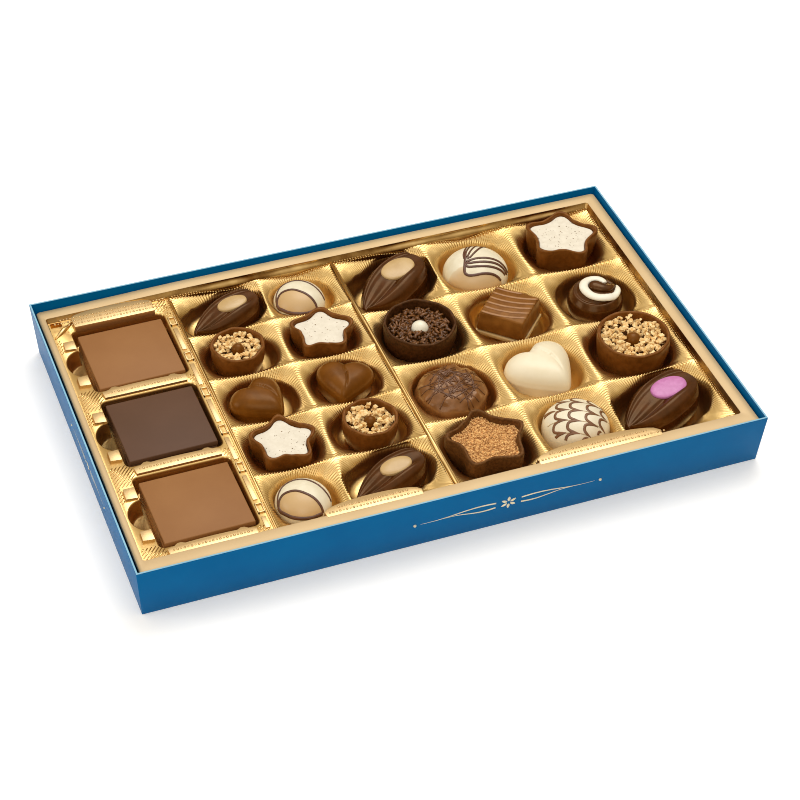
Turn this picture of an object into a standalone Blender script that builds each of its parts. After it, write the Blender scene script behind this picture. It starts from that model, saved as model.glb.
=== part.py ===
"""Box of chocolate pralines: an open card box, its formed gold tray and every piece in it.

The box stands on z = 0 with its long side along X and its front facing -Y. The sizes below
are in millimetres, and add_node() scales each finished mesh to metres.
"""
import math

import bmesh
import bpy
from mathutils import Matrix

MM = 0.001
GAP = 0.3                       # clearance between pieces that rest on each other
SHARP_ANGLE = 35                # degrees, past which an edge is shaded sharp

# The open box, of folded card.
BOX_X, BOX_Y, BOX_Z = 280.0, 174.0, 27.0
CARD = 1.5
SPLAY = (1.9, 0.5, 3.2, 2.2)    # how far the walls lean out at the top: left, right, front, back

# The formed tray: a level flange, a field one step lower, and wells sunk into the field.
SHEET = 0.4
SKIRT = (-138.0, 138.0, -85.1, 85.1)            # the skirt's foot: left, right, front, back
FLANGE = (-139.6, 138.3, -87.8, 87.0)           # the flange's outer edge
FLANGE_Z = 24.5
OPENING = (-136.6, 132.6, -81.0, 81.3)         # the flange's inner edge: left, right, front, back
FIELD = (-136.0, 131.8, -80.0, 79.6)           # the foot of the tray's inner walls
FIELD_Z = 21.2
SADDLE_SAG = 1.8                # how far the field sags between two neighbouring wells
SKIRT_Z = CARD + GAP

# Round wells in two blocks. A row has its middle in y and the ridges that part its wells in x,
# and a block has the wells' half size in y and their floor's height.
MINI_ROWS = ((64.8, (-79.2, -36.9, -0.9)), (34.0, (-79.2, -39.8, -0.9)), (2.0, (-79.2, -39.8, -0.9)),
             (-30.0, (-79.2, -39.8, -0.9)), (-62.2, (-79.2, -45.2, -0.9)))
MINI_HALF_Y, MINI_FLOOR_Z = 14.6, 10.5
CLASSIC_ROWS = ((59.6, (1.0, 44.5, 88.1, 131.4)), (20.6, (1.0, 44.5, 88.1, 131.4)),
                (-19.1, (1.0, 44.5, 88.1, 131.4)), (-59.2, (1.0, 44.5, 82.8, 131.4)))
CLASSIC_HALF_Y, CLASSIC_FLOOR_Z = 19.0, 8.0
RIDGE = 0.8                     # half the width of the ridge between two wells
WELL_POWER = 4                  # a superellipse between an oval and a rectangle
WELL_STEPS = 16
WELL_DRAFT = 0.9                # the floor's size as a share of the rim's
SQUARE_DRAFT = 0.985            # the same for the square wells

# Square wells for the stacked tablets, each with a round finger gap on its left side.
TABLET_X, TABLET_Y, TABLET_Z = 39.2, 38.0, 2.6
TABLET_CENTRES = ((-105.9, 47.9), (-106.1, -1.1), (-105.8, -52.6))
TABLET_DRAFT = 0.99             # a tablet's underside as a share of its top
TABLET_WELL_X = (-128.0, -84.2)
TABLET_WELL_Y = ((27.0, 71.4), (-23.7, 21.0), (-74.2, -29.6))
TABLET_WELL_Z = 12.6
TABLET_TURNS = (0.4, -0.5, 0.6)                # degrees, one for each layer
FINGER_RADIUS = 7.9
FINGER_X = -126.9
CORNER = 3.0                    # how far a square well's corners are cut back

# Raised pads and ridges on the field: dividers, label bars and label tabs.
DIVIDERS = ((-79.4, 0.6), (0.0, 0.9))          # x and half width
DIVIDER_RISE = 1.0
DIVIDER_CREST = (0.4, 0.999)    # the crest as a share of the foot, in x and y
DIVIDER_END = 1.0               # how far a divider stops short of the field's ends
# A pad is x, y, half length, reach to its straight front, reach to its arched back, and rise.
STACK_X = -105.9
BARS = [(STACK_X, y, 19.0, 3.0, 1.8, 1.2) for y in (24.6, -26.1, -76.6)]
LABEL = (STACK_X, 77.5, 19.0, 5.2, 1.7, 2.4)
TAB_RISE = FLANGE_Z - FIELD_Z
TABS = ((-37.5, -79.0, 21.5, 0.7, 4.0, TAB_RISE), (65.5, -78.9, 29.0, 0.7, 5.2, TAB_RISE))
TAB_CLEAR = 0.9                 # how far a well stays from a tab's back edge
PAD_CREST = (0.98, 0.85)        # a pad's top as a share of its foot, in x and y

# Where the pieces lie: x, y and turn in degrees. A piece's turn is the way its tip points.
MINI_BASE = MINI_FLOOR_Z + GAP
CLASSIC_BASE = CLASSIC_FLOOR_Z + GAP
MINI_LEAVES = ((-57.0, 64.2, 204.0), (-23.5, -61.8, 203.0))
MINI_DOMES = ((-21.2, 63.9, 0.0), (-62.6, -62.8, 0.0))
MINI_NUT_CUPS = ((-60.0, 35.4, 0.0), (-20.6, -29.6, 0.0))
MINI_STARS = ((-20.2, 34.2, 5.0), (-60.1, -30.1, 10.0))
MINI_HEARTS = ((-60.0, 1.9, -62.0), (-21.0, 2.0, -112.0))
LARGE_LEAVES = ((22.8, 59.6, 215.0), (105.3, -57.0, 205.0))
LINED_DOME = (65.0, 58.6, 20.0)
WHITE_STAR = (110.2, 61.2, -5.0)
VERMICELLI_CUP = (22.3, 21.8, 0.0)
SQUARE_BLOCK = (66.0, 20.6, 46.0)
SWIRL = (110.4, 21.6, 0.0)
MILK_DOME = (22.0, -18.6, 0.0)
WHITE_HEART = (66.3, -18.8, -70.0)
NUT_CUP = (110.9, -17.4, 0.0)
CRUMB_STAR = (22.0, -59.4, 14.0)
FEATHER_DOME = (65.4, -56.4, 0.0)

# Sizes of the pieces: rim radius or length and width, then the height of the top.
MINI_CUP_R, MINI_CUP_TOP = 12.5, 24.0
CUP_R, CUP_TOP = 16.9, 25.3
CUP_WALL = 1.5
CUP_TAPER = 0.8                 # the cup's foot as a share of its rim
CUP_DRAW = 0.93                 # the size of a cup's inner floor as a share of its mouth
BED_DROP = 2.8                  # how far a cup's filling lies below its rim
BALL_DROP = 0.4                 # how far a ball's top lies below the rim
MINI_BALL_R, BALL_R, PEARL_R = 2.9, 3.8, 4.1
STAR_POINTS = 5
STAR_SWELL = 0.13               # how far the tips and notches leave the star's mean circle
MINI_STAR_R, WHITE_STAR_R, CRUMB_STAR_R = 13.2, 15.6, 16.0
STAR_DROP, STAR_DEPTH = 1.6, 5.0
MINI_LEAF, LEAF = (36.4, 19.8, 22.4), (42.6, 24.4, 23.8)
MINI_INLAY, INLAY = (14.0, 8.4), (17.6, 10.8)
INLAY_RISE = 1.8
INLAY_AHEAD = 0.1               # the inlay's shift towards the round end, by the leaf's length
LEAF_POINT, LEAF_LEAN = 0.3, 0.12              # how far a leaf narrows to its tip
MINI_DOME, MILK_OVAL = (12.0, 12.4, 24.0), (16.2, 15.8, 24.6)      # half sizes and top
LINED_OVAL, FEATHER_OVAL = (15.6, 15.0, 25.0), (15.0, 14.8, 24.8)
MINI_HEART_TOP, HEART_TOP = 24.0, 24.6
MINI_HEART, HEART = (24.6, 21.0), (31.2, 27.6)
BLOCK_TOP, BLOCK_FOOT, BLOCK_Z = 20.3, 23.4, 24.5
PLATE, PLATE_Z = 24.2, (12.4, 14.4)
RIBBON_PATH_R, RIBBON_R = 7.6, 1.9
RIBBON_ARC = (-20.0, 215.0)
SWIRL_R, SWIRL_TOP = 13.0, 22.2
ROUND_STEPS = 20

# How a moulded piece rises: the share of its outline's size, then the share of its height.
DOME_PROFILE = ((0.9, 0.0), (1.0, 0.35), (0.86, 0.72), (0.5, 0.96), (0.15, 1.0))
LEAF_PROFILE = ((0.88, 0.0), (1.0, 0.4), (0.84, 0.78), (0.55, 1.0))
INLAY_PROFILE = ((0.95, 0.0), (0.85, 0.5), (0.45, 0.9))


def finish(name, colour, roughness, metallic=0.0):
    """Makes one Principled material."""
    material = bpy.data.materials.new(name)
    material.use_nodes = True
    shader = material.node_tree.nodes["Principled BSDF"]
    shader.inputs["Base Color"].default_value = (*colour, 1.0)
    shader.inputs["Roughness"].default_value = roughness
    shader.inputs["Metallic"].default_value = metallic
    return material


def add_node(name, bm, material):
    """Turns a bmesh into a named object in metres."""
    bmesh.ops.scale(bm, vec=(MM, MM, MM), verts=bm.verts)
    mesh = bpy.data.meshes.new(name)
    bm.to_mesh(mesh)
    bm.free()
    mesh.materials.append(material)
    mesh.shade_smooth()
    mesh.set_sharp_from_angle(angle=math.radians(SHARP_ANGLE))
    node = bpy.data.objects.new(name, mesh)
    bpy.context.scene.collection.objects.link(node)
    return node


# Outlines: closed lists of (x, y) that run counter-clockwise round their own centre.

def oval(half_x, half_y, power=2, steps=ROUND_STEPS):
    """An ellipse, or a superellipse where power is above 2."""
    points = []
    for step in range(steps):
        turn = 2 * math.pi * step / steps
        c, s = math.cos(turn), math.sin(turn)
        reach = (abs(c) ** power + abs(s) ** power) ** (-1 / power)
        points.append((half_x * reach * c, half_y * reach * s))
    return points


def star(radius):
    """Five soft tips, the first one on +x."""
    steps = 4 * STAR_POINTS
    points = []
    for step in range(steps):
        turn = 2 * math.pi * step / steps
        reach = radius * (1 + STAR_SWELL * math.cos(STAR_POINTS * turn))
        points.append((reach * math.cos(turn), reach * math.sin(turn)))
    return points


def heart(length, width, steps=24):
    """A heart whose tip lies on +x, drawn by the usual curve of four cosines, 29 units long."""
    points = []
    for step in range(steps):
        turn = 2 * math.pi * (step + 0.5) / steps
        across = math.sin(turn) ** 3
        along = (13 * math.cos(turn) - 5 * math.cos(2 * turn) - 2 * math.cos(3 * turn)
                 - math.cos(4 * turn)) / 29 + 0.09
        points.append((-length * along, -width / 2 * across))
    return points


def leaf(length, width, steps=ROUND_STEPS):
    """An oval with one pointed end on +x."""
    points = []
    for step in range(steps):
        turn = 2 * math.pi * step / steps
        pinch = 1 - LEAF_POINT * math.cos(turn) ** 3 - LEAF_LEAN * math.cos(turn)
        points.append((length / 2 * math.cos(turn), width / 2 * math.sin(turn) * pinch))
    return points


def square(side, corner=1.5):
    """A square with cut corners."""
    half, inner = side / 2, side / 2 - corner
    return [(half, -inner), (half, inner), (inner, half), (-inner, half),
            (-half, inner), (-half, -inner), (-inner, -half), (inner, -half)]


def lens(half_x, front, arch, steps=6):
    """A bar with a straight front edge and an arched back edge."""
    back = [(half_x * math.cos(math.pi * k / steps), arch * math.sin(math.pi * k / steps))
            for k in range(1, steps)]
    return [(-half_x, -front), (half_x, -front), (half_x, 0.0), *back, (-half_x, 0.0)]


def clear_of_tabs(x, y):
    """Moves a well's point back where it would reach under a tab."""
    for tab_x, tab_y, half_x, _, arch, _ in TABS:
        share = (x - tab_x) / half_x
        if abs(share) < 1:
            y = max(y, tab_y + arch * math.sqrt(1 - share * share) + TAB_CLEAR)
    return x, y


def finger_well(x0, x1, y0, y1, steps=6):
    """A square well's rim with cut corners, and the round finger gap on its left side."""
    middle = (y0 + y1) / 2
    reach = math.acos((x0 - FINGER_X) / FINGER_RADIUS)
    sweep = 2 * math.pi - 2 * reach
    gap = [(FINGER_X + FINGER_RADIUS * math.cos(reach + sweep * k / steps),
            middle + FINGER_RADIUS * math.sin(reach + sweep * k / steps)) for k in range(steps + 1)]
    return [(x0, y0 + CORNER), (x0 + CORNER, y0), (x1 - CORNER, y0), (x1, y0 + CORNER),
            (x1, y1 - CORNER), (x1 - CORNER, y1), (x0 + CORNER, y1), (x0, y1 - CORNER), *gap]


def grown(outline, share):
    """The outline scaled about its own centre."""
    return [(share * x, share * y) for x, y in outline]


# Building blocks.

def ring(bm, outline, z):
    """Adds a closed loop of edges at height z."""
    corners = [bm.verts.new((x, y, z)) for x, y in outline]
    return [bm.edges.new(pair) for pair in zip(corners, corners[1:] + corners[:1])]


def verts_of(geom):
    """The vertices among an operator's results."""
    return [item for item in geom if isinstance(item, bmesh.types.BMVert)]


def edges_of(geom):
    """The edges among an operator's results."""
    return [item for item in geom if isinstance(item, bmesh.types.BMEdge)]


def skin(levels):
    """Closes a body over levels of (outline, z): one ring, extruded from level to level.

    Where the last level meets the first one the body is a ring, and needs no caps.
    """
    bm = bmesh.new()
    step = bm.verts.layers.int.new("step")
    outline, z = levels[0]
    first = ring(bm, outline, z)
    for number, vert in enumerate(bm.verts):
        vert[step] = number
    edges = first
    for outline, z in levels[1:]:
        pulled = bmesh.ops.extrude_edge_only(bm, edges=edges)["geom"]
        for vert in verts_of(pulled):
            vert.co = (*outline[vert[step]], z)
        edges = edges_of(pulled)
    if levels[0] == levels[-1]:
        bmesh.ops.remove_doubles(bm, verts=bm.verts, dist=MM)
    else:
        bmesh.ops.holes_fill(bm, edges=first + edges, sides=0)
    bmesh.ops.recalc_face_normals(bm, faces=bm.faces)
    return bm


def lay(bm, place):
    """Turns a body about Z and moves it to its place."""
    x, y, turn = place
    bmesh.ops.rotate(bm, matrix=turn_about_z(turn), verts=bm.verts)
    bmesh.ops.translate(bm, vec=(x, y, 0.0), verts=bm.verts)
    return bm


def turn_about_z(degrees):
    """A rotation matrix about Z."""
    return Matrix.Rotation(math.radians(degrees), 3, "Z")


def rising(outline, base, rise, profile):
    """An outline's levels up a profile."""
    return [(grown(outline, share), base + height * rise) for share, height in profile]


def dome(name, outline, base, top, place, material):
    """A moulded piece: a drawn-in foot, full sides and a rounded top."""
    levels = rising(outline, base, top - base, DOME_PROFILE)
    return add_node(name, lay(skin(levels), place), material)


def oval_dome(name, size, base, place, material):
    """A moulded piece on an oval foot."""
    half_x, half_y, top = size
    return dome(name, oval(half_x, half_y), base, top, place, material)


def cup(name, outline, radius, base, top, depth, place, material):
    """A thin-walled cup, open at the top down to the floor under its filling."""
    mouth = 1 - CUP_WALL / radius
    levels = [(grown(outline, CUP_TAPER), base), (outline, top), (grown(outline, mouth), top),
              (grown(outline, mouth * CUP_DRAW), top - depth)]
    return add_node(name, lay(skin(levels), place), material)


def bed(name, outline, radius, top, depth, drop, place, material, hollow=0.0):
    """The filling inside a cup, clear of its walls and floor, with room for a ball where hollow."""
    mouth = 1 - (CUP_WALL + GAP) / radius
    low, high = top - depth + GAP, top - drop
    upper = CUP_DRAW + (1 - CUP_DRAW) * (depth - drop) / depth
    levels = [(grown(outline, mouth * CUP_DRAW), low), (grown(outline, mouth * upper), high)]
    if hollow:
        socket = grown(outline, (hollow + GAP) / radius)
        levels = [(socket, low), *levels, (socket, high), (socket, low)]
    return add_node(name, lay(skin(levels), place), material)


def ball(name, radius, top, place, material):
    """A small ball that sits in the middle of a filling, below the cup's rim."""
    bm = bmesh.new()
    bmesh.ops.create_icosphere(bm, subdivisions=2, radius=radius)
    bmesh.ops.translate(bm, vec=(0.0, 0.0, top - BALL_DROP - radius), verts=bm.verts)
    return add_node(name, lay(bm, place), material)


def ball_depth(radius):
    """How deep a cup's floor lies below its rim when a ball rests on it."""
    return BALL_DROP + 2 * radius + GAP


# The pieces.

def make_box(material):
    """An open box: the base block with its top face inset and sunk to the floor."""
    bm = bmesh.new()
    bmesh.ops.create_cube(bm, size=1.0)
    bmesh.ops.scale(bm, vec=(BOX_X, BOX_Y, BOX_Z), verts=bm.verts)
    bmesh.ops.translate(bm, vec=(0.0, 0.0, BOX_Z / 2), verts=bm.verts)
    lid = [face for face in bm.faces if face.normal.z > 0.5]
    bmesh.ops.inset_region(bm, faces=lid, thickness=CARD, use_even_offset=True)
    sunk = bmesh.ops.extrude_face_region(bm, geom=lid)
    bmesh.ops.translate(bm, vec=(0.0, 0.0, CARD - BOX_Z), verts=verts_of(sunk["geom"]))
    bmesh.ops.delete(bm, geom=lid, context="FACES")
    left, right, front, back = SPLAY
    for vert in bm.verts:
        if vert.co.z > BOX_Z / 2:
            vert.co.x += right if vert.co.x > 0 else -left
            vert.co.y += back if vert.co.y > 0 else -front
    bmesh.ops.recalc_face_normals(bm, faces=bm.faces)
    return add_node("box", bm, material)


def pull(bm, edges, centre, share, z):
    """Extrudes a rim, scales the new loop about its centre and sets its height."""
    pulled = bmesh.ops.extrude_edge_only(bm, edges=edges)["geom"]
    for vert in verts_of(pulled):
        vert.co.x = centre[0] + share[0] * (vert.co.x - centre[0])
        vert.co.y = centre[1] + share[1] * (vert.co.y - centre[1])
        vert.co.z = z
    return edges_of(pulled)


def frame_corners(left, right, front, back):
    """A rectangle's corners."""
    return [(left, front), (right, front), (right, back), (left, back)]


def stretch(bm, edges, source, target, z):
    """Extrudes a rectangular rim outwards from one rectangle to another."""
    pulled = bmesh.ops.extrude_edge_only(bm, edges=edges)["geom"]
    for vert in verts_of(pulled):
        across = (vert.co.x - source[0]) / (source[1] - source[0])
        along = (vert.co.y - source[2]) / (source[3] - source[2])
        vert.co.x = target[0] + across * (target[1] - target[0])
        vert.co.y = target[2] + along * (target[3] - target[2])
        vert.co.z = z
    return edges_of(pulled)


def make_tray(material):
    """One formed sheet: the field with its wells and pads, the walls, the flange and the skirt."""
    bm = bmesh.new()
    outer = ring(bm, frame_corners(*FIELD), FIELD_Z)
    sunk = []
    for rows, half_y, floor_z in ((MINI_ROWS, MINI_HALF_Y, MINI_FLOOR_Z),
                                  (CLASSIC_ROWS, CLASSIC_HALF_Y, CLASSIC_FLOOR_Z)):
        for y, ridges in rows:
            for left, right in zip(ridges, ridges[1:]):
                x = (left + right) / 2
                outline = oval((right - left) / 2 - RIDGE, half_y, WELL_POWER, WELL_STEPS)
                rim = ring(bm, [clear_of_tabs(x + dx, y + dy) for dx, dy in outline], FIELD_Z)
                sunk.append((rim, (x, y), floor_z))
    squares = []
    for y0, y1 in TABLET_WELL_Y:
        rim = ring(bm, finger_well(*TABLET_WELL_X, y0, y1), FIELD_Z)
        squares.append((rim, (sum(TABLET_WELL_X) / 2, (y0 + y1) / 2)))
    raised = []
    for x, half in DIVIDERS:
        corners = frame_corners(x - half, x + half, FIELD[2] + DIVIDER_END, FIELD[3] - DIVIDER_END)
        raised.append((ring(bm, corners, FIELD_Z), (x, 0.0), DIVIDER_CREST, DIVIDER_RISE))
    for x, y, half_x, front, arch, rise in (*BARS, LABEL, *TABS):
        rim = ring(bm, [(x + dx, y + dy) for dx, dy in lens(half_x, front, arch)], FIELD_Z)
        raised.append((rim, (x, y), PAD_CREST, rise))
    bmesh.ops.triangle_fill(bm, edges=bm.edges, use_beauty=True, normal=(0.0, 0.0, 1.0))
    for rim, (x, y), _ in sunk:
        for vert in {vert for edge in rim for vert in edge.verts}:
            turn = math.atan2(vert.co.y - y, vert.co.x - x)
            vert.co.z = FIELD_Z - SADDLE_SAG * math.cos(2 * turn) ** 2
    for rim, centre, depth in sunk:
        floor = pull(bm, rim, centre, (WELL_DRAFT, WELL_DRAFT), depth)
        bmesh.ops.holes_fill(bm, edges=floor, sides=0)
    for rim, centre in squares:
        floor = pull(bm, rim, centre, (SQUARE_DRAFT, SQUARE_DRAFT), TABLET_WELL_Z)
        bmesh.ops.holes_fill(bm, edges=floor, sides=0)
    for rim, centre, share, rise in raised:
        top = pull(bm, rim, centre, share, FIELD_Z + rise)
        bmesh.ops.holes_fill(bm, edges=top, sides=0)
    wall_top = stretch(bm, outer, FIELD, OPENING, FLANGE_Z)
    flange_edge = stretch(bm, wall_top, OPENING, FLANGE, FLANGE_Z)
    stretch(bm, flange_edge, FLANGE, SKIRT, SKIRT_Z)
    bmesh.ops.recalc_face_normals(bm, faces=bm.faces)
    if sum(face.normal.z * face.calc_area() for face in bm.faces) < 0:
        bmesh.ops.reverse_faces(bm, faces=bm.faces)
    tray = add_node("tray", bm, material)
    wall = tray.modifiers.new("sheet", "SOLIDIFY")
    wall.thickness = SHEET * MM
    wall.offset = -1.0
    wall.use_even_offset = True
    return tray


def make_tablets(milk, dark):
    """Three stacks of thin square tablets, each layer turned a little."""
    for stack, ((x, y), chocolate) in enumerate(zip(TABLET_CENTRES, (milk, dark, milk)), 1):
        for layer, turn in enumerate(TABLET_TURNS, 1):
            bottom = TABLET_WELL_Z + layer * GAP + (layer - 1) * TABLET_Z
            outline = frame_corners(-TABLET_X / 2, TABLET_X / 2, -TABLET_Y / 2, TABLET_Y / 2)
            bm = skin([(grown(outline, TABLET_DRAFT), bottom), (outline, bottom + TABLET_Z)])
            add_node(f"tablet_{stack}_{layer}", lay(bm, (x, y, turn)), chocolate)


def make_leaf(name, size, inlay_size, base, place, shell, inlay):
    """A pointed oval piece with an oval inlay on its round end."""
    length, width, top = size
    levels = rising(leaf(length, width), base, top - base, LEAF_PROFILE)
    add_node(name, lay(skin(levels), place), shell)
    long_axis, short_axis = inlay_size
    spot = oval(long_axis / 2, short_axis / 2, steps=14)
    bm = skin(rising(spot, top + GAP, INLAY_RISE, INLAY_PROFILE))
    bmesh.ops.translate(bm, vec=(-INLAY_AHEAD * length, 0.0, 0.0), verts=bm.verts)
    add_node(name + "_inlay", lay(bm, place), inlay)


def make_ball_cup(name, radius, ball_radius, base, top, place, shell, filling, topping):
    """A round cup with a loose filling and a small ball in the middle of it."""
    outline = oval(radius, radius)
    depth = ball_depth(ball_radius)
    cup(name + "_shell", outline, radius, base, top, depth, place, shell)
    bed(name + "_bed", outline, radius, top, depth, BED_DROP, place, filling, ball_radius)
    ball(name + "_ball", ball_radius, top, place, topping)


def make_star_cup(name, radius, base, top, place, shell, filling):
    """A star-shaped cup and the filling that shows in it."""
    outline = star(radius)
    cup(name + "_shell", outline, radius, base, top, STAR_DEPTH, place, shell)
    bed(name + "_filling", outline, radius, top, STAR_DEPTH, STAR_DROP, place, filling)


def make_block(milk, cream):
    """A tapered square block on a wider cream plate."""
    low, high = PLATE_Z
    add_node("square_plate", lay(skin([(square(PLATE), low), (square(PLATE), high)]), SQUARE_BLOCK), cream)
    levels = [(square(BLOCK_FOOT), high + GAP), (square(BLOCK_TOP), BLOCK_Z)]
    add_node("square_block", lay(skin(levels), SQUARE_BLOCK), milk)


def make_swirl(dark, white):
    """A round dark piece with a white ribbon that curls round its top."""
    dome("swirl_body", oval(SWIRL_R, SWIRL_R), CLASSIC_BASE, SWIRL_TOP, SWIRL, dark)
    bm = bmesh.new()
    bmesh.ops.create_circle(bm, segments=6, radius=RIBBON_R, cap_ends=True)
    bmesh.ops.rotate(bm, matrix=Matrix.Rotation(math.radians(90), 3, "X"), verts=bm.verts)
    bmesh.ops.translate(bm, vec=(RIBBON_PATH_R, 0.0, SWIRL_TOP + RIBBON_R), verts=bm.verts)
    start, end = RIBBON_ARC
    bmesh.ops.rotate(bm, matrix=turn_about_z(start), verts=bm.verts)
    bmesh.ops.spin(bm, geom=bm.faces[:], axis=(0, 0, 1), cent=(0, 0, 0), dvec=(0, 0, 0),
                   angle=math.radians(end - start), steps=12, use_merge=False)
    bmesh.ops.remove_doubles(bm, verts=bm.verts, dist=MM)
    bmesh.ops.recalc_face_normals(bm, faces=bm.faces)
    add_node("swirl_ribbon", lay(bm, SWIRL), white)


def main():
    for old in list(bpy.data.objects):
        bpy.data.objects.remove(old, do_unlink=True)

    blue = finish("blue_card", (0.0, 0.122, 0.314), 0.45)
    gold = finish("gold_film", (0.80, 0.56, 0.26), 0.22, 1.0)
    milk = finish("milk_chocolate", (0.165, 0.066, 0.028), 0.35)
    dark = finish("dark_chocolate", (0.035, 0.015, 0.009), 0.3)
    white = finish("white_chocolate", (0.80, 0.74, 0.58), 0.4)
    beige = finish("beige_inlay", (0.62, 0.46, 0.22), 0.35)
    violet = finish("violet_inlay", (0.55, 0.19, 0.42), 0.35)
    nuts = finish("chopped_nuts", (0.60, 0.33, 0.09), 0.6)
    crumb = finish("crumb_filling", (0.48, 0.22, 0.055), 0.8)

    make_box(blue)
    make_tray(gold)
    make_tablets(milk, dark)

    for number, place in enumerate(MINI_LEAVES, 1):
        make_leaf(f"mini_leaf_{number}", MINI_LEAF, MINI_INLAY, MINI_BASE, place, dark, beige)
    for number, place in enumerate(MINI_DOMES, 1):
        oval_dome(f"mini_dome_{number}", MINI_DOME, MINI_BASE, place, white)
    for number, place in enumerate(MINI_NUT_CUPS, 1):
        make_ball_cup(f"mini_nut_cup_{number}", MINI_CUP_R, MINI_BALL_R, MINI_BASE, MINI_CUP_TOP, place,
                      milk, nuts, milk)
    for number, place in enumerate(MINI_STARS, 1):
        make_star_cup(f"mini_star_{number}", MINI_STAR_R, MINI_BASE, MINI_CUP_TOP, place, milk, white)
    for number, place in enumerate(MINI_HEARTS, 1):
        dome(f"mini_heart_{number}", heart(*MINI_HEART), MINI_BASE, MINI_HEART_TOP, place, milk)

    for number, (place, inlay) in enumerate(zip(LARGE_LEAVES, (beige, violet)), 1):
        make_leaf(f"leaf_{number}", LEAF, INLAY, CLASSIC_BASE, place, dark, inlay)
    oval_dome("lined_dome", LINED_OVAL, CLASSIC_BASE, LINED_DOME, white)
    make_star_cup("white_star", WHITE_STAR_R, CLASSIC_BASE, CUP_TOP, WHITE_STAR, milk, white)
    make_ball_cup("vermicelli_cup", CUP_R, PEARL_R, CLASSIC_BASE, CUP_TOP, VERMICELLI_CUP,
                  dark, dark, white)
    make_block(milk, beige)
    make_swirl(dark, white)
    oval_dome("milk_dome", MILK_OVAL, CLASSIC_BASE, MILK_DOME, milk)
    dome("white_heart", heart(*HEART), CLASSIC_BASE, HEART_TOP, WHITE_HEART, white)
    make_ball_cup("nut_cup", CUP_R, BALL_R, CLASSIC_BASE, CUP_TOP, NUT_CUP, milk, nuts, milk)
    make_star_cup("crumb_star", CRUMB_STAR_R, CLASSIC_BASE, CUP_TOP, CRUMB_STAR, dark, crumb)
    oval_dome("feather_dome", FEATHER_OVAL, CLASSIC_BASE, FEATHER_DOME, white)


main()
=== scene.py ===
# %% [markdown]
# # An open box of chocolate pralines
# A low blue card box holds a formed tray of gold film, and the tray holds twenty-two filled
# chocolates and three stacks of thin tablets. The plain solids come first, as a fixed frame with
# true sizes. Every step after that models one piece again in fine detail, in the same place.
# Lengths are in millimetres while a piece is shaped, and become metres when it is finished.

# %% Load the frame
import math
import random

import bmesh
import bpy
from mathutils import Matrix, Vector, bvhtree, noise


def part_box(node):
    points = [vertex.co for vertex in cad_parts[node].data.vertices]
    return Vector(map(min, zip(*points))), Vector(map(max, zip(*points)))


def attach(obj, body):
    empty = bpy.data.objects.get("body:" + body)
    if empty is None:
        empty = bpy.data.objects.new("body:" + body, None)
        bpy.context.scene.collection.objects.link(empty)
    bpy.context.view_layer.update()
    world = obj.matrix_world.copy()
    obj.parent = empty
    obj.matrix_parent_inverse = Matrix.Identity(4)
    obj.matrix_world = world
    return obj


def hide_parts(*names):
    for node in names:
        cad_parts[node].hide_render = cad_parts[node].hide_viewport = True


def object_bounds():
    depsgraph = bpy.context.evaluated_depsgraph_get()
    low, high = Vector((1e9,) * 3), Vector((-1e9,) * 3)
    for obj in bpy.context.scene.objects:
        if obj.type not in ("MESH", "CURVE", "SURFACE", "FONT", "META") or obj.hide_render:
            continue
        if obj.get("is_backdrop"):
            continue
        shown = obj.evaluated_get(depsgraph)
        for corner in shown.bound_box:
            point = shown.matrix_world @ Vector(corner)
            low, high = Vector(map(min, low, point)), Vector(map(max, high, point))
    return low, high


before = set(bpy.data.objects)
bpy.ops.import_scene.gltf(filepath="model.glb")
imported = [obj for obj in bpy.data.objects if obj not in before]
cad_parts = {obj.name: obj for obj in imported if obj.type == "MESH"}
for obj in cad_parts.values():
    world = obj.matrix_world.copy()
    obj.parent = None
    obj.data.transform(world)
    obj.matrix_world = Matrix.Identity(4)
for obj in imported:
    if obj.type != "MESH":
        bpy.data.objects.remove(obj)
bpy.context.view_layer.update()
MM = 0.001

# %% [markdown]
# Helpers for placing pieces. The frame's boxes say where a piece lies and how high it reaches, so
# a new piece is shaped round its own middle and then laid in its place. An int layer on the
# vertices remembers each one's place in its ring while the ring is extruded from level to level.

# %% Measure and place
def span(node):
    """A node's lowest and highest corner in millimetres."""
    low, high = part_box(node)
    return low / MM, high / MM


def middle(node):
    """The middle of a node's plan in millimetres."""
    low, high = span(node)
    return (low.x + high.x) / 2, (low.y + high.y) / 2


def verts_of(geom):
    return [item for item in geom if isinstance(item, bmesh.types.BMVert)]


def edges_of(geom):
    return [item for item in geom if isinstance(item, bmesh.types.BMEdge)]


def faces_of(geom):
    return [item for item in geom if isinstance(item, bmesh.types.BMFace)]


def turned(degrees, axis="Z"):
    return Matrix.Rotation(math.radians(degrees), 3, axis)


def lay(bm, x=0.0, y=0.0, z=0.0, turn=0.0):
    """Turns a mesh about Z and moves it to its place."""
    bmesh.ops.rotate(bm, matrix=turned(turn), verts=bm.verts)
    bmesh.ops.translate(bm, vec=(x, y, z), verts=bm.verts)
    return bm


def show(name, bm, material, slot, *nodes, sharp=None):
    """Finishes a mesh as a piece that rides on the body and stands for its nodes."""
    bmesh.ops.scale(bm, vec=(MM, MM, MM), verts=bm.verts)
    mesh = bpy.data.meshes.new(name)
    bm.to_mesh(mesh)
    bm.free()
    mesh.materials.append(material)
    mesh.shade_smooth()
    if sharp:
        mesh.set_sharp_from_angle(angle=math.radians(sharp))
    piece = bpy.data.objects.new(name, mesh)
    bpy.context.scene.collection.objects.link(piece)
    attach(piece, "root")
    if nodes:
        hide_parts(*nodes)
    print(name, len(mesh.polygons), "faces")
    return piece


def smoothstep(low, high, value):
    share = min(1.0, max(0.0, (value - low) / (high - low)))
    return share * share * (3 - 2 * share)


def mix(a, b, share):
    return a + (b - a) * share


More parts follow.
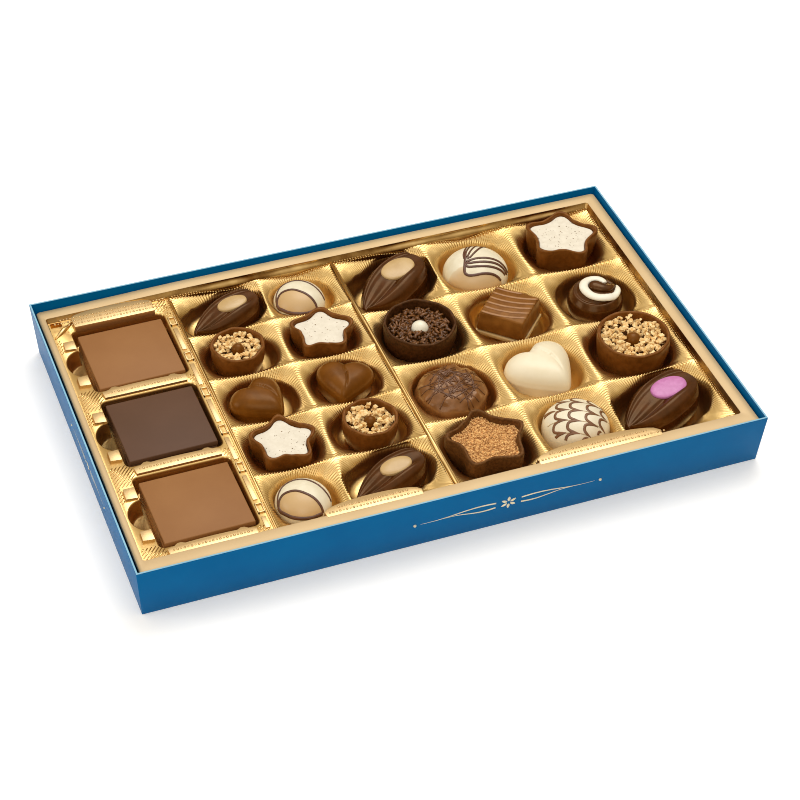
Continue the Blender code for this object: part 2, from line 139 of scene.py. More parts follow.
# %% [markdown]
# Materials are small node graphs on the Principled shader. Chocolate is a satin solid: a base
# colour with a slow drift and a fine bump. One helper makes every colour
# drift and bump, from noise in Object coordinates, so that nothing slides when a view changes.

# %% A helper for finishes
def linear(red, green, blue):
    """A colour in 0 to 255 steps as linear light."""
    steps = [c / 255 for c in (red, green, blue)]
    return (*[c / 12.92 if c <= 0.04045 else ((c + 0.055) / 1.055) ** 2.4 for c in steps], 1.0)


def noise_node(nodes, links, coords, size, detail=3.0, rough=0.55):
    """Noise whose patches are about size millimetres wide."""
    field = nodes.new("ShaderNodeTexNoise")
    field.inputs["Scale"].default_value = 1 / (size * MM)
    field.inputs["Detail"].default_value = detail
    field.inputs["Roughness"].default_value = rough
    links.new(coords.outputs["Object"], field.inputs["Vector"])
    return field


def finish(name, dark, light, drift=6.0, rough=0.4, grain=0.4, relief=0.02, **sockets):
    """A Principled material whose colour drifts from dark to light, with a fine bump.

    drift and grain are the sizes of the colour patches and of the bump, and relief is the
    bump's height, all in millimetres.
    """
    material = bpy.data.materials.new(name)
    material.use_nodes = True
    nodes, links = material.node_tree.nodes, material.node_tree.links
    shader = nodes["Principled BSDF"]
    coords = nodes.new("ShaderNodeTexCoord")
    patches = noise_node(nodes, links, coords, drift)
    ramp = nodes.new("ShaderNodeValToRGB")
    ramp.color_ramp.elements[0].position, ramp.color_ramp.elements[1].position = 0.35, 0.65
    ramp.color_ramp.elements[0].color = linear(*dark)
    ramp.color_ramp.elements[1].color = linear(*light)
    links.new(patches.outputs["Fac"], ramp.inputs["Fac"])
    links.new(ramp.outputs["Color"], shader.inputs["Base Color"])
    fine = noise_node(nodes, links, coords, grain, detail=4.0)
    bump = nodes.new("ShaderNodeBump")
    bump.inputs["Strength"].default_value = 1.0
    bump.inputs["Distance"].default_value = relief * MM
    links.new(fine.outputs["Fac"], bump.inputs["Height"])
    links.new(bump.outputs["Normal"], shader.inputs["Normal"])
    shader.inputs["Roughness"].default_value = rough
    for socket, value in sockets.items():
        shader.inputs[socket.replace("_", " ")].default_value = value
    return material


WARM_GLOSS = (1.0, 0.66, 0.34, 1.0)      # chocolate shines warm, because the gold around it does
GOLD = finish("gold_film", (224, 187, 120), (234, 197, 132), drift=30.0, rough=0.28, grain=3.0,
              relief=0.02, Metallic=1.0)
# Dark brown patches drift over this gold. They are painted shade, standing for the dark reflections in the tray's
# walls.
GOLD_WALL_PAINTED_SHADE = finish("gold_wall_painted_shade", (128, 84, 36), (226, 188, 122), drift=17.0, rough=0.3, grain=3.0,
                   relief=0.02, Metallic=1.0)
FLANGE_GOLD = finish("flange_gold", (205, 177, 133), (211, 184, 141), drift=30.0, rough=0.6, grain=3.0,
                     relief=0.01, Metallic=0.45)
GOLD_SHEEN = finish("gold_sheen", (230, 194, 130), (238, 202, 140), drift=30.0, rough=0.28, grain=3.0,
                    relief=0.02, Metallic=1.0)
PALE_GOLD = finish("pale_gold", (222, 190, 138), (230, 198, 146), drift=30.0, rough=0.4, grain=3.0,
                   relief=0.02, Metallic=1.0)
BLUE = finish("blue_card", (0, 94, 152), (0, 99, 157), drift=20.0, rough=0.42, grain=0.25,
              relief=0.006, Specular_IOR_Level=0.09, Specular_Tint=(0.12, 0.7, 1.0, 1.0))
# A light blue for the card's top edge: a painted highlight.
RIM_HIGHLIGHT = finish("card_edge_painted_highlight", (120, 176, 204), (136, 188, 212), drift=20.0, rough=0.5, relief=0.0)
MILK = finish("milk_chocolate", (98, 54, 8), (114, 66, 14), rough=0.3, relief=0.01,
              Specular_IOR_Level=0.32, Specular_Tint=WARM_GLOSS)
MILK_SATIN = finish("milk_tablet", (146, 99, 56), (152, 105, 61), drift=25.0, rough=0.55, relief=0.004,
                    Specular_IOR_Level=0.25)
DARK = finish("dark_chocolate", (58, 28, 6), (74, 38, 12), rough=0.34, relief=0.012,
              Specular_IOR_Level=0.28, Specular_Tint=WARM_GLOSS)
DARK_SATIN = finish("dark_tablet", (90, 62, 44), (95, 66, 48), drift=25.0, rough=0.55, relief=0.004,
                    Specular_IOR_Level=0.25)
WHITE = finish("white_chocolate", (236, 228, 206), (244, 238, 220), rough=0.4, relief=0.01)
BEIGE = finish("beige_inlay", (190, 156, 102), (202, 170, 118), rough=0.3, relief=0.008)
VIOLET = finish("violet_inlay", (190, 112, 168), (202, 126, 182), drift=2.0, rough=0.35, relief=0.02)
LINE = finish("brown_line", (84, 48, 28), (98, 58, 36), rough=0.35, relief=0.008)
print(len(bpy.data.materials), "finishes")

# %% [markdown]
# The light is plain: a pale floor, a white sky, one wide soft lamp high up behind the right
# shoulder of the box and a weaker one in front. Soft lamps are large, so shadows have no hard edge.
# Gold film is a mirror, so the sky grows dim near the horizon: every fold needs both to reflect.

# %% Floor, light and camera
FLOOR_SIZE = 6000.0
SKY = ((0.001, (0.13, 0.09, 0.04)), (0.35, (0.34, 0.25, 0.13)), (0.62, (0.68, 0.6, 0.46)),
       (0.85, (0.96, 0.94, 0.9)), (0.999, (1.0, 1.0, 1.0)))      # height, colour
SKY_STRENGTH = 1.05
PIXEL_BLUR = 1.0                # fine hatching needs a narrow pixel filter
LAMPS = (("key", (330.0, 520.0, 1250.0), 900.0, 8.0), ("front", (-500.0, -900.0, 900.0), 700.0, 2.5),
         ("left", (-1100.0, 150.0, 420.0), 500.0, 2.0))


def make_floor():
    bm = bmesh.new()
    bmesh.ops.create_grid(bm, x_segments=1, y_segments=1, size=FLOOR_SIZE * MM / 2)
    mesh = bpy.data.meshes.new("floor")
    bm.to_mesh(mesh)
    bm.free()
    mesh.materials.append(finish("floor_paper", (252, 252, 252), (254, 254, 254), rough=0.9, relief=0.0,
                                 Emission_Color=(1.0, 1.0, 1.0, 1.0), Emission_Strength=0.18))
    floor = bpy.data.objects.new("floor", mesh)
    bpy.context.scene.collection.objects.link(floor)
    floor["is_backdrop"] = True


def make_lamp(name, place, size, power):
    """A square lamp that points at the middle of the box."""
    lamp = bpy.data.lights.new(name, "AREA")
    lamp.shape, lamp.size, lamp.energy = "SQUARE", size * MM, power
    holder = bpy.data.objects.new(name, lamp)
    holder.location = Vector(place) * MM
    holder.rotation_euler = (-holder.location).to_track_quat("-Z", "Y").to_euler()
    bpy.context.scene.collection.objects.link(holder)


def make_camera(azimuth, elevation, roll, distance, target, lens):
    """A camera that looks at target from an azimuth and an elevation, in degrees."""
    turn, lift, tilt = (math.radians(angle) for angle in (azimuth, elevation, roll))
    back = Vector((math.sin(turn) * math.cos(lift), -math.cos(turn) * math.cos(lift), math.sin(lift)))
    right = (-back).cross(Vector((0.0, 0.0, 1.0))).normalized()
    up = right.cross(-back)
    axis_x = math.cos(tilt) * right + math.sin(tilt) * up
    axis_y = -math.sin(tilt) * right + math.cos(tilt) * up
    camera = bpy.data.objects.new("camera", bpy.data.cameras.new("camera"))
    camera.data.lens, camera.data.sensor_width = lens, 36.0
    camera.rotation_mode = "QUATERNION"
    camera.rotation_quaternion = Matrix((axis_x, axis_y, back)).transposed().to_quaternion()
    camera.location = (Vector(target) + distance * back) * MM
    bpy.context.scene.collection.objects.link(camera)
    bpy.context.scene.camera = camera


def make_sky():
    """A white dome that is bright overhead and dim at the horizon."""
    world = bpy.data.worlds.new("sky")
    world.use_nodes = True
    nodes, links = world.node_tree.nodes, world.node_tree.links
    coords = nodes.new("ShaderNodeTexCoord")
    height = nodes.new("ShaderNodeSeparateXYZ")
    ramp = nodes.new("ShaderNodeValToRGB")
    for position, colour in SKY:
        stop = ramp.color_ramp.elements.new(position)
        stop.color = (*colour, 1.0)
    ramp.color_ramp.elements.remove(ramp.color_ramp.elements[0])
    ramp.color_ramp.elements.remove(ramp.color_ramp.elements[-1])
    links.new(coords.outputs["Generated"], height.inputs["Vector"])
    links.new(height.outputs["Z"], ramp.inputs["Fac"])
    links.new(ramp.outputs["Color"], nodes["Background"].inputs["Color"])
    nodes["Background"].inputs["Strength"].default_value = SKY_STRENGTH
    return world


make_floor()
for lamp in LAMPS:
    make_lamp(*lamp)
make_camera(-22.04, 41.67, 1.90, 988.4, (5.4, 1.15, 0.0), 98.3)
bpy.context.scene.world = make_sky()
bpy.context.scene.view_settings.view_transform = "Standard"
bpy.context.scene.cycles.filter_width = PIXEL_BLUR
bpy.context.scene.cycles.denoising_prefilter = "NONE"        # keeps fine hatching crisp
print("camera at", [round(c, 3) for c in bpy.context.scene.camera.location])

# %% [markdown]
# The tray is one sheet of film drawn down into wells. Each round well is a cell: a square rim of
# points that it shares with its neighbours, drawn in to an oval mouth and then down a steep wall.
# The film is fluted where it bends, as in a paper cup: every fourth point of the rim is lifted a
# little, and the lift fades down the wall. One ring is extruded from level to level, because then
# the flutes keep their pitch from cell to cell.

# %% The tray's plan
FLANGE_Z, FIELD_Z, FIELD_LEFT, FIELD_RIGHT, FIELD_FRONT, FIELD_BACK = 24.5, 21.4, -136.0, 131.6, -80.0, 79.6
MINI_LEFT, MINI_RIGHT, CLASSIC_LEFT = -78.8, -0.9, 1.0
MINI_ROWS = (79.6, 49.7, 18.3, -13.9, -46.1, -80.0)
MINI_RIDGES = (-36.9, -38.3, -39.8, -39.8, -42.5, -45.2)
CLASSIC_ROWS = (79.6, 40.1, 0.7, -39.1, -80.0)
CLASSIC_RIDGES = ((44.5, 88.1), (44.5, 88.1), (44.5, 88.1), (44.5, 85.8), (44.5, 80.5))
FLUTES_ACROSS, FLUTES_ALONG, PER_FLUTE = {"mini": 28, "classic": 31}, {"mini": 22, "classic": 29}, 4
FLUTE_LIFT, SAG = 0.34, 1.7
# The wall's levels: share of the mouth, then share of the depth.
WALL = ((1.0, 0.0), (0.985, 0.05), (0.965, 0.14), (0.945, 0.28), (0.925, 0.44), (0.9, 0.62), (0.86, 0.78),
        (0.79, 0.91), (0.66, 0.99), (0.4, 1.0))
LIP = (0.0, 0.25, 0.5, 0.75)           # the rings between a cell's rim and its mouth
TABS = ((-37.5, -79.0, 21.5, 4.0), (65.5, -78.9, 29.0, 5.2))     # middle, half length and arch


def clear_of_tabs(x, y):
    """Moves a point back where it would lie under a label tab."""
    for tab_x, tab_y, half, arch in TABS:
        share = (x - tab_x) / half
        if abs(share) < 1:
            y = max(y, tab_y + arch * math.sqrt(1 - share * share) + 0.5)
    return x, y


def lip_drop(gap):
    """How far the film falls between a rim and a mouth that are gap apart."""
    return min(3.8, 0.9 + 0.45 * gap)


def cell(bm, kind, corners, well, floor_z, back_sag):
    """Adds one well: corners are the cell's own, counter-clockwise from the front left."""
    across, along = PER_FLUTE * FLUTES_ACROSS[kind], PER_FLUTE * FLUTES_ALONG[kind]
    count = 2 * (across + along)
    sides = ((across, 0, 1), (along, 1, 2), (across, 2, 3), (along, 3, 0))
    samples = []
    for side, (steps, start, end) in enumerate(sides):
        for step in range(steps):
            share = step / steps
            spot = 2 * share - 1
            place = tuple(mix(a, b, share) for a, b in zip(corners[start], corners[end]))
            samples.append((side, spot, place, step if side < 2 else steps - step))
    cx, cy, half_x, half_y, power, turn = well
    spin = turned(turn)
    ring = []
    for side, spot, (x, y), count_on in samples:
        inward = 2 ** (-1 / power)
        a = spot * (1 - (1 - inward) * spot * spot)
        b = (1 - abs(a) ** power) ** (1 / power)
        unit = ((a, -b), (b, a), (-a, b), (-b, -a))[side]
        if turn:                       # a leaning well takes its points by direction
            aim = spin.inverted() @ Vector((x - cx, y - cy, 0.0))
            aim = Vector((aim.x / half_x, aim.y / half_y, 0.0))
            reach = (abs(aim.x) ** power + abs(aim.y) ** power) ** (-1 / power)
            unit = (aim.x * reach, aim.y * reach)
        mouth = spin @ Vector((half_x * unit[0], half_y * unit[1], 0.0))
        middle_share = (1 - spot * spot) ** 1.5
        sag = back_sag if side == 2 else SAG
        if side == 0 and y < FIELD_FRONT + 0.5:
            sag = 0.3
        flute = FLUTE_LIFT * math.cos(2 * math.pi * count_on / PER_FLUTE)
        x, y = clear_of_tabs(x, y)
        mx, my = clear_of_tabs(cx + mouth.x, cy + mouth.y)
        ring.append(((x, y), (mx, my), FIELD_Z - sag * middle_share, flute, middle_share))
    levels = []
    for share in LIP:
        level = []
        for (x, y), (mx, my), rim_z, flute, middle_share in ring:
            gap = math.hypot(mx - x, my - y)
            drop = lip_drop(gap)
            fade = mix(smoothstep(0.02, 0.3, middle_share), 1.0, share)
            level.append((mix(x, mx, share), mix(y, my, share),
                          rim_z - drop * share ** 1.6 + flute * fade))
        levels.append(level)
    for share, depth in WALL:
        level = []
        for (x, y), (mx, my), rim_z, flute, middle_share in ring:
            gap = math.hypot(mx - x, my - y)
            mouth_z = rim_z - lip_drop(gap)
            fade = 1 - smoothstep(0.05, 0.4, depth)
            level.append((mix(cx, mx, share), mix(cy, my, share),
                          mix(mouth_z, floor_z, depth) + flute * fade))
        levels.append(level)
    rings(bm, levels)


def rings(bm, levels, cap=True):
    """Closes a skin over levels of points: one ring, extruded from level to level."""
    step = bm.verts.layers.int.get("step") or bm.verts.layers.int.new("step")
    first = bmesh.ops.create_circle(bm, segments=len(levels[0]), radius=1.0)["verts"]
    for number, (vert, place) in enumerate(zip(first, levels[0])):
        vert[step], vert.co = number, place
    edges = list({edge for vert in first for edge in vert.link_edges})
    for level in levels[1:]:
        pulled = bmesh.ops.extrude_edge_only(bm, edges=edges)["geom"]
        for vert in verts_of(pulled):
            vert.co = level[vert[step]]
        edges = edges_of(pulled)
    if cap:
        bmesh.ops.holes_fill(bm, edges=edges, sides=0)


def upright(bm):
    """Turns a sheet's faces so that most of them look up."""
    bmesh.ops.recalc_face_normals(bm, faces=bm.faces)
    if sum(face.normal.z * face.calc_area() for face in bm.faces) < 0:
        bmesh.ops.reverse_faces(bm, faces=bm.faces)


# %% [markdown]
# Two blocks of wells. A cup or dome sits in an upright oval well, and a leaf sits in a longer well
# that leans with it. The back wells cut low into the tray's back wall, so their back rim sags more.

# %% Round wells
# The wells that lean, by block, row and column: middle, half sizes, power and turn.
LEANING = {("mini", 0, 0): (-57.6, 64.4, 21.5, 13.8, 2.4, 19.0), ("mini", 4, 1): (-23.6, -61.0, 21.5, 14.2, 2.5, 18.0),
           ("classic", 0, 0): (22.6, 60.2, 24.0, 17.4, 2.5, 30.0), ("classic", 3, 2): (105.6, -58.4, 25.0, 17.4, 2.5, 22.0)}
MARGIN_X, MARGIN_Y, MOUTH_POWER = 3.4, 1.7, 2.35          # an upright mouth inside its cell


def wells(kind, rows, ridges, floor_z, chosen):
    """Adds a block's wells, for the chosen rows, welded along their rims."""
    bm = bmesh.new()
    for row in chosen:
        back, front = rows[row], rows[row + 1]
        for column in range(len(ridges[0]) - 1):
            left_back, right_back = ridges[row][column:column + 2]
            left_front, right_front = ridges[row + 1][column:column + 2]
            corners = ((left_front, front), (right_front, front), (right_back, back), (left_back, back))
            cx = sum(x for x, _ in corners) / 4
            cy = (front + back) / 2
            half_x = (right_back + right_front - left_back - left_front) / 4 - MARGIN_X
            well = LEANING.get((kind, row, column),
                               (cx, cy, half_x, (back - front) / 2 - MARGIN_Y, MOUTH_POWER, 0.0))
            cell(bm, kind, corners, well, floor_z, 2.6 if row == 0 else SAG)
    bmesh.ops.remove_doubles(bm, verts=bm.verts, dist=0.02)
    upright(bm)
    return bm


mini_ridges = [(MINI_LEFT, ridge, MINI_RIGHT) for ridge in MINI_RIDGES]
classic_ridges = [(CLASSIC_LEFT, *pair, FIELD_RIGHT) for pair in CLASSIC_RIDGES]
show("tray_mini_wells", wells("mini", MINI_ROWS, mini_ridges, 10.5, range(5)), GOLD, "gold_film", "tray")
show("tray_back_wells", wells("classic", CLASSIC_ROWS, classic_ridges, 8.0, (0, 1)), GOLD, "gold_film", "tray")
show("tray_front_wells", wells("classic", CLASSIC_ROWS, classic_ridges, 8.0, (2, 3)), GOLD, "gold_film", "tray")

# %% [markdown]
# The card box is one block whose top is inset and sunk to the floor, like folding a net up round
# its base. Real card has no knife edge: a narrow bevel catches the bright line along the rim.

# %% Box
CARD, FOOT = 0.9, (280.0, 174.0)
SPLAY = (1.9, 0.5, 3.2, 2.2)    # how far the walls lean out at the top: left, right, front, back


def card_box():
    _, high = span("box")
    size = Vector((*FOOT, high.z))
    bm = bmesh.new()
    bmesh.ops.create_cube(bm, size=1.0)
    bmesh.ops.scale(bm, vec=size, verts=bm.verts)
    bmesh.ops.translate(bm, vec=(0.0, 0.0, high.z / 2), verts=bm.verts)
    lid = [face for face in bm.faces if face.normal.z > 0.5]
    bmesh.ops.inset_region(bm, faces=lid, thickness=CARD, use_even_offset=True)
    sunk = bmesh.ops.extrude_face_region(bm, geom=lid)
    bmesh.ops.translate(bm, vec=(0.0, 0.0, CARD - size.z), verts=verts_of(sunk["geom"]))
    bmesh.ops.delete(bm, geom=lid, context="FACES")
    left, right, front, back = SPLAY
    for vert in bm.verts:
        if vert.co.z > high.z / 2:
            vert.co.x += right if vert.co.x > 0 else -left
            vert.co.y += back if vert.co.y > 0 else -front
    bmesh.ops.recalc_face_normals(bm, faces=bm.faces)
    sharp = [edge for edge in bm.edges if edge.calc_face_angle(0.0) > 1.0]
    bmesh.ops.bevel(bm, geom=sharp, offset=0.22, affect="EDGES", segments=3, profile=0.5, material=-1)
    return bm


def card_rim_highlight():
    """A light blue strip over the card's top edge all round the opening: a painted highlight where the cut edge catches
    the light.
    """
    _, high = span("box")
    left, right, front, back = SPLAY
    size = Vector((FOOT[0] + left + right - 0.2, FOOT[1] + front + back - 0.2, 1.0))
    bm = bmesh.new()
    bmesh.ops.create_grid(bm, x_segments=1, y_segments=1, size=0.5)
    bmesh.ops.scale(bm, vec=size, verts=bm.verts)
    bmesh.ops.translate(bm, vec=((right - left) / 2, (back - front) / 2, high.z + 0.01), verts=bm.verts)
    middle_face = list(bm.faces)
    bmesh.ops.inset_region(bm, faces=middle_face, thickness=CARD - 0.2, use_even_offset=True,
                            use_boundary=True)
    bmesh.ops.delete(bm, geom=middle_face, context="FACES")
    raised = bmesh.ops.extrude_face_region(bm, geom=list(bm.faces))
    bmesh.ops.translate(bm, vec=(0.0, 0.0, 0.06), verts=verts_of(raised["geom"]))
    bmesh.ops.recalc_face_normals(bm, faces=bm.faces)
    return bm


show("card_box", card_box(), BLUE, "blue_card", "box", sharp=40)
# The thin light strip over the rim is a painted highlight.
show("card_rim_highlight", card_rim_highlight(), RIM_HIGHLIGHT, "blue_card", sharp=40)

# %% [markdown]
# The tray's rim is a flat flange with a turned-down edge and a sloped wall to the field. It is one
# long ring of points round the tray. The wall is fluted between the back wells, on the slant.

# %% Flange and walls
OPENING = (-136.6, 132.6, -81.0, 81.3)
FIELD = (FIELD_LEFT, FIELD_RIGHT, FIELD_FRONT, FIELD_BACK)
FLANGE = (-139.6, 138.3, -88.3, 87.0)
RIM_STEP = 0.32
CORNER_DIP = 1.3                # how far the film sinks at the back left corner
BACK_WELLS = (-50.0, -20.0, 37.0, 66.0, 109.0)     # where the back wells cut into the wall


def round_rectangle(left, right, front, back, corner, counts):
    """Points round a rectangle with round corners, counter-clockwise from the front left."""
    points = []
    spots = ((left, front), (right, front), (right, back), (left, back))
    inner = ((1, 1), (-1, 1), (-1, -1), (1, -1))
    for side in range(4):
        (x0, y0), (x1, y1) = spots[side], spots[(side + 1) % 4]
        for step in range(counts[side % 2]):
            share = step / counts[side % 2]
            x, y = mix(x0, x1, share), mix(y0, y1, share)
            for (cx, cy), (dx, dy) in zip(spots, inner):
                ox, oy = (x - cx) * dx, (y - cy) * dy
                if ox < corner and oy < corner and corner > 0:
                    away = Vector((ox - corner, oy - corner))
                    away = away.normalized() * corner
                    x, y = cx + dx * (corner + away.x), cy + dy * (corner + away.y)
                    break
            points.append((x, y))
    return points


FLANGE_LEVELS = 6


def tray_rim():
    counts = (int((FLANGE[1] - FLANGE[0]) / RIM_STEP), int((FLANGE[3] - FLANGE[2]) / RIM_STEP))
    # Each level: how far from the flange's edge (0) to the opening (1) and the field (2), and height.
    steps = ((0.02, 22.4, 1.0), (0.0, 24.1, 1.0), (0.06, 24.5, 1.0), (0.5, 24.52, 1.0), (0.9, 24.5, 0.8),
             (1.0, 24.25, 0.6), (1.25, 23.5, 0.5), (1.5, 22.9, 0.5), (1.75, 22.2, 0.5), (2.0, 21.5, 0.5),
             (2.02, 20.5, 0.5), (2.02, 18.0, 0.5))
    outlines = [round_rectangle(*FLANGE, 1.5, counts), round_rectangle(*OPENING, 1.2, counts),
                round_rectangle(*FIELD, 1.0, counts)]
    levels = []
    for reach, z, _ in steps:
        lower = min(1, int(reach))
        level = []
        for inner, outer in zip(outlines[lower + 1], outlines[lower]):
            x = mix(outer[0], inner[0], reach - lower)
            y = mix(outer[1], inner[1], reach - lower)
            dip = CORNER_DIP * math.exp(-((x + 138) / 45) ** 2 - ((y - 85) / 18) ** 2)
            wave = 0.12 * noise.noise(Vector((x * 0.03, y * 0.05, 2.0)))
            near_well = max((math.exp(-((x - spot) / 12) ** 2) for spot in BACK_WELLS), default=0.0)
            flute = 0.0
            if 1.1 < reach < 2.01 and x > -78:
                slant = x + y if y > 70 else (y - x if x > 120 else 0)
                flute = 0.14 * math.cos(2 * math.pi * slant / 1.27) * (1 - near_well if y > 70 else 1)
            level.append((x, y + (1.2 * near_well if y > 70 and reach > 1.1 else 0.0) * math.sin(math.pi * min(1.0, reach - 1)), z - dip + wave + flute))
        levels.append(level)
    skins = []
    for part in (levels[:FLANGE_LEVELS], levels[FLANGE_LEVELS - 1:]):
        bm = bmesh.new()
        rings(bm, part, cap=False)
        upright(bm)
        skins.append(bm)
    return skins


flange_skin, wall_skin = tray_rim()
show("tray_flange", flange_skin, FLANGE_GOLD, "gold_film", "tray")
# The wall's dark brown patches are painted shade.
show("tray_wall", wall_skin, GOLD_WALL_PAINTED_SHADE, "gold_film", "tray")

# %% [markdown]
# Small raised things on the film, such as ribs, dashes and beads, are all strands: a small ring of
# points that is carried along a path and closed at both ends.

# %% Strands
def strand(bm, path, radius, sides=8, flat=1.0, ups=None):
    """Adds a tube along a path; radius is a number or one per point, flat squeezes its height."""
    levels = []
    for spot, point in enumerate(path):
        ahead = path[min(spot + 1, len(path) - 1)] - path[max(spot - 1, 0)]
        ahead.normalize()
        up = ups[spot] if ups else Vector((0.0, 0.0, 1.0))
        side = ahead.cross(up)
        side = side.normalized() if side.length > 1e-6 else Vector((1.0, 0.0, 0.0))
        up = side.cross(ahead)
        wide = radius[spot] if isinstance(radius, (list, tuple)) else radius
        levels.append([point + wide * (math.cos(2 * math.pi * k / sides) * side
                                       + flat * math.sin(2 * math.pi * k / sides) * up)
                       for k in range(sides)])
    step = bm.verts.layers.int.get("step") or bm.verts.layers.int.new("step")
    first = bmesh.ops.create_circle(bm, segments=sides, radius=1.0)["verts"]
    for number, (vert, place) in enumerate(zip(first, levels[0])):
        vert[step], vert.co = number, place
    start = list({edge for vert in first for edge in vert.link_edges})
    edges = start
    for level in levels[1:]:
        pulled = bmesh.ops.extrude_edge_only(bm, edges=edges)["geom"]
        for vert in verts_of(pulled):
            vert.co = level[vert[step]]
        edges = edges_of(pulled)
    bmesh.ops.holes_fill(bm, edges=start + edges, sides=0)


def bead(bm, x, y, z, radius, flat=0.6):
    """Adds a low round bead."""
    bmesh.ops.create_icosphere(bm, subdivisions=1, radius=radius,
                               matrix=Matrix.Translation((x, y, z)) @ Matrix.Diagonal((1, 1, flat, 1)))


def block(bm, x0, x1, y0, y1, z0, z1, edge=0.25, lean=0.0):
    """Adds a low block with bevelled edges, its top drawn in by lean."""
    made = bmesh.ops.create_cube(bm, size=1.0)["verts"]
    bmesh.ops.scale(bm, vec=(x1 - x0, y1 - y0, z1 - z0), verts=made)
    bmesh.ops.translate(bm, vec=((x0 + x1) / 2, (y0 + y1) / 2, (z0 + z1) / 2), verts=made)
    for vert in made:
        if vert.co.z > (z0 + z1) / 2:
            vert.co.x += lean if vert.co.x < (x0 + x1) / 2 else -lean
            vert.co.y += lean if vert.co.y < (y0 + y1) / 2 else -lean
    edges = list({e for v in made for e in v.link_edges})
    bmesh.ops.bevel(bm, geom=edges, offset=edge, affect="EDGES", segments=2, profile=0.5, material=-1)


# %% [markdown]
# Two raised lines part the tray's three fields, and a double row of dashes runs along the field's
# back and right edges. The dashes follow the film down where it sags between a well and the wall.

# %% Dividers and dashes
DASH_PITCH, DASH = 1.3, 0.85


def dividers():
    bm = bmesh.new()
    for x, half in ((-79.5, 0.55), (0.05, 0.85)):
        path = [Vector((x, y, 21.35)) for y in (-80.3, -40.0, 0.0, 40.0, 79.6)]
        strand(bm, path, half, sides=12, flat=1.15)
        for side in (-1, 1):
            edge = [Vector((x + side * (half + 0.3), y, 21.15)) for y in (-80.2, 0.0, 79.4)]
            strand(bm, edge, 0.22, sides=6)
    bmesh.ops.recalc_face_normals(bm, faces=bm.faces)
    return bm


def edge_dashes():
    bm = bmesh.new()
    count = int((131.0 + 86.0) / DASH_PITCH)
    for number in range(count):
        x = -84.0 + number * DASH_PITCH
        near = max(math.exp(-((x - spot) / 10) ** 2) for spot in BACK_WELLS)
        if abs(x - 0.05) < 1.4 or abs(x + 79.5) < 1.2:
            continue
        for y, z in ((79.95, 21.75), (79.05, 21.5)):
            z -= 2.3 * near
            strand(bm, [Vector((x - DASH / 2, y, z)), Vector((x + DASH / 2, y, z))], 0.26, sides=6)
    for number in range(int(150.0 / DASH_PITCH)):
        y = -74.0 + number * DASH_PITCH
        for x, z in ((132.0, 21.9), (131.1, 21.5)):
            strand(bm, [Vector((x, y - DASH / 2, z)), Vector((x, y + DASH / 2, z))], 0.26, sides=6)
    bmesh.ops.recalc_face_normals(bm, faces=bm.faces)
    return bm


show("tray_dividers", dividers(), GOLD, "gold_film", "tray")
show("tray_dashes", edge_dashes(), GOLD, "gold_film", "tray")

# %% [markdown]
# The tablets' field is a flat sheet with three square wells. The wells' mouths are drawn first, as
# loops of edges, and the sheet is filled in between them. Then each mouth is drawn down into its
# well. A round gap at the left of each well leaves room for a fingertip.

# %% Tablet field
STACK_Y = (49.2, -1.35, -51.9)             # the middles of the square wells
WELL_X, WELL_HALF_Y, WELL_FLOOR = (-128.0, -84.2), 22.3, 12.6
FINGER_X, FINGER_REACH, FINGER_HALF = -127.6, 7.6, 9.6
POCKET = (-135.3, -130.2, 75.9, 79.1)      # a small recess in the back left corner
SHEET_Z = 21.3


def well_mouth(middle_y):
    """A square mouth with round corners and a round finger gap on its left side."""
    x0, x1 = WELL_X
    y0, y1 = middle_y - WELL_HALF_Y, middle_y + WELL_HALF_Y
    points = []
    for cx, cy, start in ((x1 - 3, y0 + 3, -90), (x1 - 3, y1 - 3, 0), (x0 + 3, y1 - 3, 90)):
        points += [(cx + 3 * math.cos(math.radians(start + turn)), cy + 3 * math.sin(math.radians(start + turn)))
                   for turn in range(0, 91, 15)]
    reach = math.degrees(math.acos((x0 - FINGER_X) / FINGER_REACH))
    sweep = 360 - 2 * reach
    points += [(FINGER_X + FINGER_REACH * math.cos(math.radians(reach + sweep * k / 20)),
                middle_y - 1.0 + FINGER_HALF * math.sin(math.radians(reach + sweep * k / 20))) for k in range(21)]
    points += [(x0 + 3 + 3 * math.cos(math.radians(turn)), y0 + 3 + 3 * math.sin(math.radians(turn)))
               for turn in range(180, 271, 15)]
    return points


def loop(bm, points, z):
    """A closed loop of edges."""
    made = bmesh.ops.create_circle(bm, segments=len(points), radius=1.0)["verts"]
    for vert, (x, y) in zip(made, points):
        vert.co = (x, y, z)
    return list({edge for vert in made for edge in vert.link_edges})


def draw_down(bm, edges, steps):
    """Extrudes a mouth down, each step moving the new points inwards by a distance."""
    for inset, z in steps:
        old = {vert.co.to_tuple(4): vert for edge in edges for vert in edge.verts}
        cx = sum(v.co.x for v in old.values()) / len(old)
        cy = sum(v.co.y for v in old.values()) / len(old)
        pulled = bmesh.ops.extrude_edge_only(bm, edges=edges)["geom"]
        for vert in verts_of(pulled):
            away = Vector((vert.co.x - cx, vert.co.y - cy))
            vert.co.x -= inset * max(-1, min(1, away.x / 14))
            vert.co.y -= inset * max(-1, min(1, away.y / 14))
            vert.co.z = z
        edges = edges_of(pulled)
    bmesh.ops.holes_fill(bm, edges=edges, sides=0)


